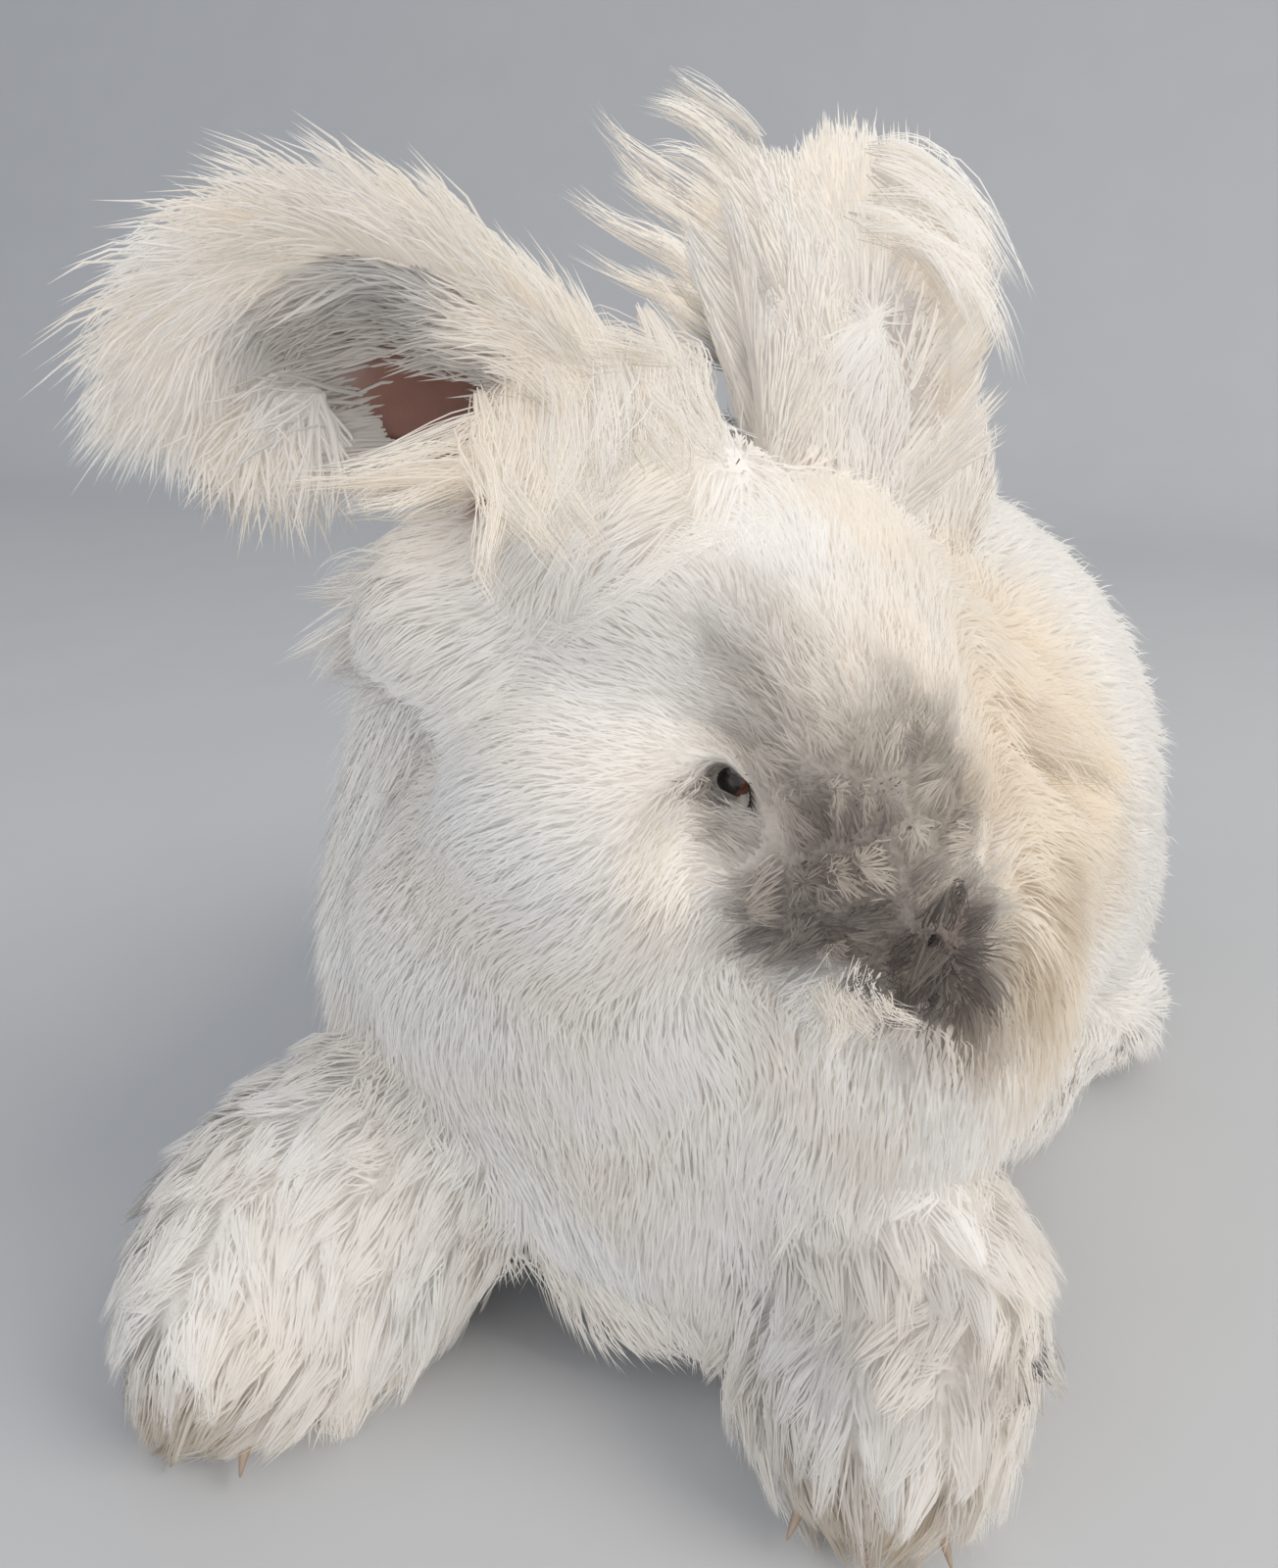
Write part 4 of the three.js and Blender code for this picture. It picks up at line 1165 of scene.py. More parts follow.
@dataclass
class Coat:
    """The wool of the body and head: fine bent tufts rooted all over the skin.

    Rise is how early a tuft bends over, stray the share of tufts that stand out, limit the
    triangles of one piece. Off the eyes, slit is half the size of the opening kept clear along
    and across the lids, reach how far before and behind the middle of the slit it goes, and
    widens the distance in which the left eye's opening doubles, as it lies deep in the wool.
    """

    animal: Animal
    placing: Placing
    markings: Markings
    tufts: int = 98000
    seed: int = 23
    rise: float = 1.9
    few_rings: tuple[float, ...] = (0.0, 0.5, 1.0)
    more_rings: tuple[float, ...] = (0.0, 0.3, 0.65, 1.0)
    clump_every: int = 20
    limit: int = 190000
    stray: float = 0.08
    slit: tuple[float, float] = (5.4, 3.2)
    slit_reach: tuple[float, float] = (-5.0, 60.0)
    slit_widens: float = 36.0
    SLOTS: ClassVar[dict[str, str]] = {
        "head": "wool_face", "cheeks": "wool_face", "legs": "wool_foot"}

    def roots(self, skin: Mesh, known: Field) -> dict[str, Array]:
        """Spread roots over the skin's triangles, closer where the coat is finer.

        Bare pink skin, the soles and the ears get next to none.
        """
        chance = np.random.default_rng(self.seed)
        skin.calc_loop_triangles()
        corner = read_all(skin.loop_triangles, "vertices", 3, np.int32)
        loops = read_all(skin.loop_triangles, "loops", 3, np.int32)
        points = vertices_of(skin) / MM - self.placing.shift
        normals = vertices_of(skin, "normal")
        uv = read_all(skin.uv_layers["OFBake"].data, "uv", 2)
        lie, rows, away = known.read(points)
        lie, rows = self.calmed(skin, lie, rows)
        pink = read_all(skin.attributes["pink"].data, "value", 1)[:, 0]
        a, b, c = points[corner].transpose(1, 0, 2)
        area = np.linalg.norm(np.cross(b - a, c - a), axis=1) / 2
        middle = (a + b + c) / 3
        weight = area * rows[corner, 3].mean(1) * (1 - 0.97 * ease(pink[corner].mean(1), 0.2, 0.7))
        weight *= 1 - 0.85 * (1 - ease(middle[:, 2], 3, 9)) * (normals[corner].mean(1)[:, 2] < -0.3)
        weight *= 1 - self.on_ear(points, away)[corner].mean(1)
        total = np.cumsum(weight)
        picks = (np.arange(self.tufts) + chance.random(self.tufts)) / self.tufts * total[-1]
        chosen = np.searchsorted(total, picks)
        mix = np.sqrt(chance.random(self.tufts))
        other = chance.random(self.tufts)
        share = np.stack([1 - mix, mix * (1 - other), mix * other], 1)[..., None]
        read = {name: (table[corner[chosen]] * share).sum(1) for name, table in (
            ("at", points), ("normal", normals), ("lie", lie), ("row", rows))}
        return read | {"normal": unit(read["normal"]), "uv": (uv[loops[chosen]] * share).sum(1)}

    def on_ear(self, points: Array, away: Array) -> Array:
        """Return 1 where a place lies nearer to an ear than to the woolly forms."""
        tree = tree_of(np.concatenate([ear.shell(1.0)[0] for ear in self.animal.ears().values()]))
        near = np.array([tree.find(place)[2] for place in points])
        return (near < away - 0.5).astype(float)

    @staticmethod
    def calmed(skin: Mesh, lie: Array, rows: Array) -> tuple[Array, Array]:
        """Blend the lie and the style between neighbours, so that parts flow together."""
        near = Neighbours(skin)
        table = np.concatenate([lie, rows], 1)
        for _ in range(6):
            table = 0.4 * table + 0.6 * near.mean(table)
        return unit(table[:, :3]), table[:, 3:]

    def shaped(self, roots: dict[str, Array], rings: tuple[float, ...]) -> Tufts:
        """Bend a tuft out of each root, with its rings at the given shares of its length.

        Place at share s of a tuft = root + normal * height * (1 - (1 - s)^rise) + lie * travel
        * s^1.2 - up * sag * s^2 + a crimp across it, drawn towards the tuft in the middle of
        its clump by clump * s^1.4.
        """
        chance = np.random.default_rng(self.seed + 1)
        at, normal = roots["at"], roots["normal"]
        count = len(at)
        height, travel, width, _, clump, wave = roots["row"].T
        own = self.animal.head.own(at)
        muzzle = 1 - ease(distance(own, vec(40, -6, 4)), 16, 34)
        swirl = ripple(at, 26, 0.3) * 0.25 + ripple(at, 10, 1.9) * (0.12 + 0.55 * muzzle)
        lie = unit(roots["lie"] - normal * column((roots["lie"] * normal).sum(1)))
        side = np.cross(normal, lie)
        turn = swirl + chance.normal(0, 0.16, count) + muzzle * chance.normal(0, 0.35, count)
        lie = lie * column(np.cos(turn)) + side * column(np.sin(turn))
        side = np.cross(normal, lie)
        travel = travel * (1 - 0.45 * muzzle) * chance.uniform(0.75, 1.2, count)
        travel = np.minimum(travel, 4 + height * 2.2)
        height = np.maximum(height * chance.uniform(0.8, 1.03, count), 2.5)
        stray = chance.random(count) < self.stray
        height = np.where(stray, height * 1.25 + 1.5, height)
        share = np.array(rings)
        rise = 1 - (1 - share) ** self.rise
        paths = (
            at[:, None] - normal[:, None] * 0.5
            + normal[:, None] * (column(height) * rise)[..., None]
            + lie[:, None] * (column(travel) * share ** 1.2)[..., None]
            - UP * (column(0.12 * travel) * share ** 2)[..., None]
        )
        phase = chance.uniform(0, 2 * np.pi, count)
        crimp = np.sin(share * 5.2 + phase[:, None]) * share * column(wave * (1 + 1.4 * muzzle))
        paths += side[:, None] * crimp[..., None]
        heaped = np.maximum(muzzle, 0.8 * ease(clump, 0.5, 0.75))
        clump = np.clip((clump + 0.5 * muzzle) * chance.uniform(0.5, 1.4, count), 0, 0.92)
        pull = column(clump) * share ** 1.4
        middle = clump_of(at, chance, self.clump_every)
        wider = clump_of(at, chance, self.clump_every * 2)
        middle = np.where(heaped > 0.35, wider, middle)
        paths += pull[..., None] * (paths[middle] - paths)
        heap = heaped * (chance.random(count)[middle] - 0.35) * 7
        paths += normal[:, None] * (column(heap) * share)[..., None]
        paths[..., 2] = np.maximum(paths[..., 2], 0.6)
        tones = self.markings.read(at)
        whole = chance.random(count)
        of_clump = 0.5 + 0.22 * heaped
        nose = 1 - ease(distance(own, vec(62, -1, -6)), 9, 18)
        tones["tint"] = (of_clump * whole[middle] + (1 - of_clump) * whole) * (1 - 0.6 * nose)
        width = width * chance.uniform(0.75, 1.3, count) * (1 + 0.3 * muzzle)
        width = width * (0.55 + 0.45 * ease(height, 2, 9)) * np.where(stray, 0.45, 1.0)
        clear = self.clear_of_eyes(paths)
        facing = unit(normal + UP * column(np.clip(-normal[:, 2], 0, 1)) * 1.1)
        return Tufts(paths, width, facing, roots["uv"], tones).part(clear)

    def clear_of_eyes(self, paths: Array) -> Array:
        """Return which tufts leave the slits between the lids to be seen.

        A tuft goes where a third of one of its stretches ends inside an elliptic tube that
        leaves the slit along the line of sight, with a ragged wall.
        """
        head = self.animal.head
        clear = np.ones(len(paths), bool)
        ragged = np.random.default_rng(self.seed + 2).uniform(0.7, 1.2, len(paths))
        (wide, high), (nearest, farthest) = self.slit, self.slit_reach
        for side in (-1, 1):
            sight = unit(head.left * side * 0.64 + head.ahead * 0.54 + head.crown * 0.54)
            middle = head.eye(side) + head.eye_radius * unit(
                head.left * side * 0.85 + head.ahead * 0.5 + head.crown * 0.18)
            along_lid = unit(head.ahead - sight * (head.ahead @ sight))
            across_lid = np.cross(sight, along_lid)
            for ring in range(1, paths.shape[1]):
                for part in (0.33, 0.67, 1.0):
                    away = paths[:, ring - 1] * (1 - part) + paths[:, ring] * part - middle
                    out = away @ sight
                    off = np.hypot(away @ along_lid / wide, away @ across_lid / high)
                    if side > 0:
                        off /= 1 + np.clip(out, 0, 40) / self.slit_widens
                    clear &= (off > ragged) | (out < nearest) | (out > farthest)
        return clear

    def part_of(self, at: Array) -> Array:
        """Return the name of the coat part that each root belongs to."""
        own = self.animal.head.own(at)
        in_head = (distance(own, vec(0, 0, 0), vec(1.15, 1, 1)) < 56) & (own[:, 0] > -36)
        rules = [
            ((at[:, 2] > 186) & (at[:, 1] < -25), CoatPart.CROWN),
            (in_head & (np.abs(own[:, 1]) < 25), CoatPart.HEAD),
            (in_head, CoatPart.CHEEKS),
            ((at[:, 2] < 58) & (at[:, 1] < -60) & (np.abs(at[:, 0]) > 16), CoatPart.LEGS),
            (at[:, 1] < -60, CoatPart.BIB),
            (at[:, 2] < 70, CoatPart.FLANKS),
            (at[:, 1] > 60, CoatPart.RUMP),
        ]
        return np.select([rule for rule, _ in rules], [part.value for _, part in rules],
                         CoatPart.BACK.value)

    def build(self, skin: Object, known: Field) -> dict[Object, str]:
        """Return the coat's pieces, each with few enough tufts, and the slot of each."""
        roots = self.roots(skin.data, known)
        names = self.part_of(roots["at"])
        pieces = {}
        for part in CoatPart:
            chosen = names == part.value
            rings = self.more_rings if part is CoatPart.CROWN else self.few_rings
            tufts = self.shaped({key: table[chosen] for key, table in roots.items()}, rings)
            if part in (CoatPart.CROWN, CoatPart.FLANKS, CoatPart.BACK, CoatPart.RUMP):
                tufts.fade = 0.5
            count = len(tufts.widths)
            each = self.limit // (6 * len(rings) - 8)
            for index in range(0, count, each):
                name = f"coat_{part.value}_{index // each + 1}"
                some = tufts.part(np.arange(index, min(index + each, count)))
                slot = self.SLOTS.get(part.value, "wool_white")
                pieces[tuft_object(name, some, self.placing)] = slot
        return pieces


@dataclass
class EarCoat:
    """The long fringe of an ear: tufts that leave its back, rims and tip and hang over.

    Droop is how far a tip hangs for its length, reach the length of the longest tufts, and
    front the share of them that is rooted on the side of the cup.
    """

    animal: Animal
    placing: Placing
    markings: Markings
    droop: float = 0.16
    reach: float = 31.5
    front: float = 0.42
    tufts: int = 12000
    width: float = 0.95
    seed: int = 37
    clump_every: int = 16
    rings: tuple[float, ...] = (0.0, 0.33, 0.68, 1.0)

    def fringe(self, ear: Ear, open_cup: bool) -> Tufts:
        """Shape the tufts of one ear along quadratic curves root, bend, tip.

        In an open cup the lower half stays bare, and its tufts stand on the rims instead.
        """
        chance = np.random.default_rng(self.seed)
        count = self.tufts
        y = np.clip(0.97 - 1.94 * chance.random(count) ** 0.85, -0.97, 0.97)
        x = np.clip(np.sin(chance.uniform(-1.45, 1.45, count)) * 1.02, -1, 1)
        inner = chance.random(count) < self.front
        place = (1 - y) / 2
        edge = place + chance.normal(0, 0.06, count)
        bare = inner & (x < 0.1 - 1.1 * ease(edge, 0.44, 0.6)) & (place > 0.08) & (edge < 0.6)
        if open_cup:
            low = chance.random(count) < 0.3
            deep = 0.12 + 0.25 * ease(place, 0.42, 0.52)
            rims = np.where(low, deep * chance.random(count) - 1,
                            0.15 + 0.85 * chance.random(count))
            x = np.where(bare, rims, x)
        ring = np.sqrt(1 - y * y)
        root = ear.at(np.stack([x * ring * 0.9, y, np.where(inner, 0.75, -0.8) * ring], 1), 0.6)
        _, tangent, across, inward = ear.frame(place)
        out = np.sqrt(np.clip(1 - x * x, 0.05, 1)) * np.where(inner, -0.5, 0.8)
        outward = unit(across * column(x) - inward * column(out))
        size = along([0.85, 0.92, 0.95, 0.88, 0.8], place) * chance.uniform(0.5, 1.08, count)
        size *= np.where(inner, 0.6 + 0.25 * np.abs(x), 1.0)
        length = self.reach * size
        swirl = ripple(root, 24, 1.3) * 0.35 + chance.normal(0, 0.2, count)
        lean = along([0.9, 1.1, 1.25, 1.35], place)
        flow = tangent * column(lean) + np.cross(tangent, outward) * column(swirl)
        if open_cup:
            flow = flow - across * column(np.where(inner, 0.3 * (1 - x), 0.0))
            frayed = (0.3 + 0.4 * (x < -0.6)) * ease(place, 0.45, 0.65)
            flow += across * column(chance.normal(0, 1, count) * frayed)
            flow -= tangent * column(chance.random(count) * (x < -0.6) * ease(place, 0.5, 0.6))
            rim = column(np.clip(x, 0, 1) ** 2)
            outward = np.where(inner[:, None], unit(inward * (1 - rim) + across * rim), outward)
        flow = unit(flow)
        lift = np.where(inner, 0.16 + 0.18 * np.clip(x, 0, 1) ** 2, 0.34)
        bend = root + outward * column(length * lift) + flow * column(length * 0.42)
        tip = (bend + outward * column(length * 0.3 * lift) + flow * column(length * 0.5)
               - UP * column(length * self.droop * chance.uniform(0.4, 1.8, count)))
        share = np.array(self.rings)[None, :, None]
        paths = quadratic(root[:, None], bend[:, None], tip[:, None], share)
        side = unit(np.cross(flow, outward))
        wave = np.sin(share * 6 + chance.uniform(0, 6.3, (count, 1, 1))) * share
        paths = paths + side[:, None] * wave * 1.1
        apart = root + column(np.where(inner, 500.0, 0.0))
        middle = clump_of(apart, chance, self.clump_every)
        pull = chance.uniform(0.1, 0.6, (count, 1, 1)) * share ** 1.5
        paths = paths + pull * (paths[middle] - paths)
        tones = self.markings.read(root)
        # Painted shade: the fringe is greyed more inside the cup than behind it, more at the rims
        # and less towards the tip, and most near the opening of an open cup, under its rim.
        rim = ease(np.abs(x), 0.7, 0.98)
        grey = np.where(inner, 0.16, 0.09) * (1 - ease(place, 0.55, 0.9)) * (0.5 + rim)
        if open_cup:
            near = inner * (1 - ease(x, 0.25, 0.8)) * (1 - ease(place, 0.5, 0.85))
            grey = np.maximum(grey, 0.42 * near)
        tones["smoke"] = grey
        tones["cream"] = 0.32 + 0.2 * ripple(root, 18, 0.9)
        uv = np.stack([0.02 + 0.2 * (x + 1) / 2, 0.7 + 0.28 * place], 1)
        whole = chance.random(count)
        tones["tint"] = 0.5 * whole[middle] + 0.5 * whole
        width = chance.uniform(0.7, 1.3, count) * self.width
        facing = unit(outward + 0.3 * tangent + 1.6 * vec(0.2, -0.6, 0.5))
        return Tufts(paths, width, facing, uv, tones, flat=0.5, lean=0.82, fade=0.92)

    def build(self) -> list[Object]:
        """Return the fringe of both ears."""
        return [tuft_object(f"coat_ear_{name}", self.fringe(ear, name == "right"), self.placing)
                for name, ear in self.animal.ears().items()]


@dataclass(frozen=True)
class Comb:
    """A row of long locks, spread evenly from a first to a last; millimetres.

    First and last are the root, the bend and the tip of a lock. Spread is the width of a
    lock at its root, curl how far its hairs swing out, and turns how often.
    """

    name: str
    first: tuple[Array, Array, Array]
    last: tuple[Array, Array, Array]
    locks: int
    hairs: int
    spread: float
    curl: float
    turns: float
    smoke: float = 0.0
    cream: float = 0.4
    width: float = 0.42


COMBS = (
    Comb("forelock", (vec(-28, -104, 217), vec(-25, -122, 207), vec(-14, -118, 184)),
         (vec(-10, -92, 225), vec(-3, -112, 212), vec(-8, -116, 188)), 15, 44, 5, 3.4, 1.7,
         cream=0.5),
    Comb("forelock", (vec(-12, -94, 225), vec(-4, -112, 214), vec(-6, -116, 190)),
         (vec(0, -81, 225), vec(14, -90, 222), vec(11, -95, 205)), 13, 44, 5, 3.0, 1.5,
         cream=0.4),
    Comb("forelock", (vec(-36, -94, 224), vec(-22, -108, 222), vec(-8, -112, 212)),
         (vec(-20, -84, 226), vec(-4, -96, 227), vec(8, -98, 219)), 12, 36, 7, 1.8, 1.0,
         cream=0.6),
    Comb("ear_left", (vec(0, -29, 268), vec(-14, -34, 284), vec(-24, -43, 280)),
         (vec(2, -37, 234), vec(-14, -46, 245), vec(-32, -56, 258)), 9, 30, 5, 2.6, 0.9,
         cream=0.3),
    Comb("ear_left", (vec(2, -37, 234), vec(-10, -46, 240), vec(-26, -54, 252)),
         (vec(2, -42, 222), vec(-9, -49, 229), vec(-17, -56, 243)), 6, 30, 4, 2.2, 0.9,
         cream=0.35),
    Comb("ear_left", (vec(29, -29, 266), vec(47, -32, 263), vec(59, -31, 235)),
         (vec(34, -36, 246), vec(50, -42, 246), vec(58, -41, 220)), 11, 36, 6, 1.4, 0.7,
         cream=0.15),
    Comb("mouth", (vec(40, -108, 114), vec(42, -118, 113), vec(46, -119, 96)),
         (vec(49, -109, 116), vec(51, -119, 114), vec(55, -119, 101)), 9, 40, 5, 2.6, 1.5,
         smoke=0.1, cream=0.45, width=0.3),
    Comb("cheek", (vec(67, -56, 147), vec(81, -62, 151), vec(92, -60, 138)),
         (vec(76, -46, 142), vec(87, -52, 147), vec(94, -54, 133)), 10, 34, 7, 1.4, 0.8,
         cream=1.0, width=0.36),
    Comb("ruff", (vec(-48, -99, 184), vec(-64, -104, 182), vec(-77, -107, 174)),
         (vec(-48, -99, 164), vec(-62, -104, 158), vec(-68, -107, 146)), 12, 34, 7, 1.6, 0.8,
         cream=0.25),
    Comb("ear_right", (vec(-27, -104, 212), vec(-38, -116, 208), vec(-50, -126, 203)),
         (vec(-30, -110, 203), vec(-38, -120, 201), vec(-50, -130, 197)), 9, 32, 5, 1.8, 0.8,
         smoke=0.06, cream=0.5),
)


@dataclass
class Locks:
    """The long loose locks: those of every comb, from the forelock to the ruff."""

    placing: Placing
    seed: int = 47
    rings: int = 8

    def hairs(self, comb: Comb, seed: int) -> Tufts:
        """Return the hairs of one comb's locks.

        Hair = quadratic curve root, bend, tip + its own offset * (1 - 0.82 s), drawn in at the
        root, + the lock's swing, curl * s * (sin, cos) of turns * s round the curve.
        """
        chance = np.random.default_rng(seed)
        each = comb.hairs
        count = comb.locks * each
        share = column(np.linspace(0, 1, comb.locks))
        guides = [first * (1 - share) + last * share + chance.normal(0, 1.6 + 1.3 * step, (
            comb.locks, 3)) for step, (first, last) in enumerate(zip(comb.first, comb.last))]
        guides[0] -= unit(guides[1] - guides[0]) * chance.uniform(0, 7, (comb.locks, 1))
        root, bend, tip = (np.repeat(guide, each, 0)[:, None] for guide in guides)
        line = unit(tip - root)
        across = unit(np.cross(line, UP + 0.2 * AHEAD))
        other = np.cross(line, across)
        facing = unit(np.cross(across, line))[:, 0]
        facing *= np.sign(facing @ unit(vec(0.35, -0.8, 0.5)))[:, None]
        step = np.linspace(0, 1, self.rings)[None, :, None]
        of_lock = np.repeat(chance.random(comb.locks), each)
        reach = (0.72 + 0.3 * of_lock)[:, None, None] * chance.uniform(0.82, 1.03, (count, 1, 1))
        at = step * reach
        paths = quadratic(root, bend, tip, at)
        offset = chance.normal(0, comb.spread / 2, (count, 1, 3))
        paths = paths + offset * (1 - 0.82 * at) * np.minimum(1, 0.35 + 2 * at)
        phase = np.repeat(chance.uniform(0, 6.3, comb.locks), each)[:, None, None]
        paths = paths + chance.normal(0, 1.2, (count, 1, 3)) * at ** 2
        turn = phase + chance.normal(0, 0.25, (count, 1, 1)) + at * comb.turns * 6.3
        paths = paths + comb.curl * at * (np.sin(turn) * across + 0.7 * np.cos(turn) * other)
        whole = chance.random(count)
        # Painted shade: hairs on the far side of a lock from where it faces are made greyer and
        # browner.
        deep = np.clip(0.3 - (offset[:, 0] * facing).sum(1) / comb.spread, 0, 1)
        tones = {"smoke": comb.smoke + 0.3 * deep, "cream": comb.cream * (0.6 + 0.6 * of_lock),
                 "stain": 0.25 * deep, "tint": 0.5 * whole + 0.5 * of_lock}
        width = comb.width * chance.uniform(0.7, 1.3, count)
        uv = np.full((count, 2), 0.5) + 0.4 * (chance.random((count, 2)) - 0.5)
        return Tufts(paths, width, facing, uv, tones, flat=0.6, lean=0.65, fade=0.3)

    def build(self) -> list[Object]:
        """Return one piece for each comb."""
        return [tuft_object(f"coat_{comb.name}_locks_{index + 1}",
                            self.hairs(comb, self.seed + index), self.placing)
                for index, comb in enumerate(COMBS)]


@dataclass
class Eyes:
    """Two dark brown eyeballs with a shallow clear bulge over the iris."""

    head: Head
    placing: Placing
    bulge: float = 0.7
    GRID: ClassVar[tuple[int, int]] = (56, 40)

    def build(self) -> dict[str, Object]:
        """Return the two eyes by the name of the solid that each stands for.

        Radius = eye radius - 0.1 + bulge * exp(-(angle from the gaze / 0.62)^4).
        """
        pieces = {}
        directions = sphere_directions(*self.GRID)
        angle = np.arccos(np.clip(directions[:, 1], -1, 1))
        radius = self.head.eye_radius - 0.1 + self.bulge * np.exp(-(angle / 0.62) ** 4)
        for name, side in SIDES.items():
            gaze = self.head.gaze(side)
            upward = unit(self.head.crown - gaze * (self.head.crown @ gaze))
            sideways = np.cross(upward, gaze)
            points = self.head.eye(side) + column(radius) * (
                column(directions[:, 0]) * sideways + column(directions[:, 1]) * gaze
                - column(directions[:, 2]) * upward)
            label = f"eye_{name}_ball"
            mesh = new_mesh(label, self.placing.metres(points), grid_faces(*self.GRID))
            set_values(mesh, {"angle": angle})
            smooth_shade(mesh)
            pieces[f"eye_{name}"] = new_object(label, outward_facing(mesh))
        return pieces


def horn_object(name: str, paths: list[Array], radius: float, placing: Placing) -> Object:
    """Make round tapered horns, such as claws, whiskers and lashes, along their paths.

    Ring radius = radius * (1 - s)^0.6 at share s of the path, with the tip closed.
    """
    sides = 6
    angle = np.linspace(0, 2 * np.pi, sides, endpoint=False)[:, None]
    shells = []
    for path in paths:
        tangent = unit(np.gradient(path, axis=0))
        across = unit(np.cross(tangent, vec(0.31, 0.2, 0.93)))
        outward = np.cross(tangent, across)
        size = radius * np.maximum(1 - np.linspace(0, 1, len(path)), 0.02) ** 0.6
        spoke = across[:, None] * np.cos(angle) + outward[:, None] * np.sin(angle)
        ring = path[:, None] + size[:, None, None] * spoke
        shells.append((ring.reshape(-1, 3), grid_faces(sides, len(path) - 1)))
    points, faces = together(shells)
    mesh = new_mesh(name, placing.metres(points), faces)
    smooth_shade(mesh)
    return new_object(name, outward_facing(mesh))


@dataclass
class Trimmings:
    """Claws that just show below the wool, whiskers and eyelashes."""

    animal: Animal
    placing: Placing
    seed: int = 5
    claw_radius: float = 1.9
    whisker_radius: float = 0.12
    lash_radius: float = 0.24
    lashes_each: int = 24

    def claws(self) -> list[Object]:
        """Return the front claws of each foot: short horns curved down to the floor."""
        pieces = []
        share = column(np.linspace(0, 1, 9))
        for name, side in SIDES.items():
            form = self.animal.foreleg(side)
            paths = []
            for across in (-0.4, 0.0, 0.4):
                toes = unit(vec(across, -0.92, -0.38))[None]
                root, bend, tip = (form.at(toes, depth)[0] for depth in (0.45, 0.9, 1.08))
                path = quadratic(root, bend, tip + vec(0, 0, -2), share)
                path[:, 2] = np.maximum(path[:, 2], 2.2)
                paths.append(path)
            pieces.append(horn_object(f"claws_{name}", paths, self.claw_radius, self.placing))
        return pieces

    def whiskers(self) -> Object:
        """Return the whiskers: thin hairs that leave the pads sideways and hang a little."""
        chance = np.random.default_rng(self.seed)
        head = self.animal.head
        share = column(np.linspace(0, 1, 8))
        paths = []
        for side, row, rank in itertools.product((-1, 1), range(3), range(3)):
            root = head.at(head.nose_reach - 6 - 3 * rank, side * (13 + rank * 0.8),
                           -6 - 3.2 * row)
            way = unit(head.left * side + head.ahead * (0.75 - 0.2 * rank)
                       + head.crown * (0.3 - 0.28 * row) + chance.normal(0, 0.08, 3))
            length = chance.uniform(16, 30)
            paths.append(root + way * share * length - UP * share ** 2 * length * 0.25)
        return horn_object("whiskers", paths, self.whisker_radius, self.placing)

    def lashes(self) -> Object:
        """Return the lashes, short curved hairs along the upper and front lid."""
        head = self.animal.head
        wide, _, high = head.lid_opening
        share = column(np.linspace(0, 1, 6))
        paths = []
        for side in (-1, 1):
            for angle in np.radians(np.linspace(-30, 200, self.lashes_each)):
                forward, upward = math.cos(angle), math.sin(angle)
                root = head.at(head.eye_forward + 1.5 + forward * wide,
                               side * (head.eye_spread + 6.6),
                               head.eye_rise + upward * high * 1.05)
                out = unit(root - head.eye(side))
                spread = (head.ahead * forward + head.crown * upward) * 0.35
                paths.append(root + out * share * 3.4 + spread * share ** 2 * 5)
        return horn_object("lashes", paths, self.lash_radius, self.placing)


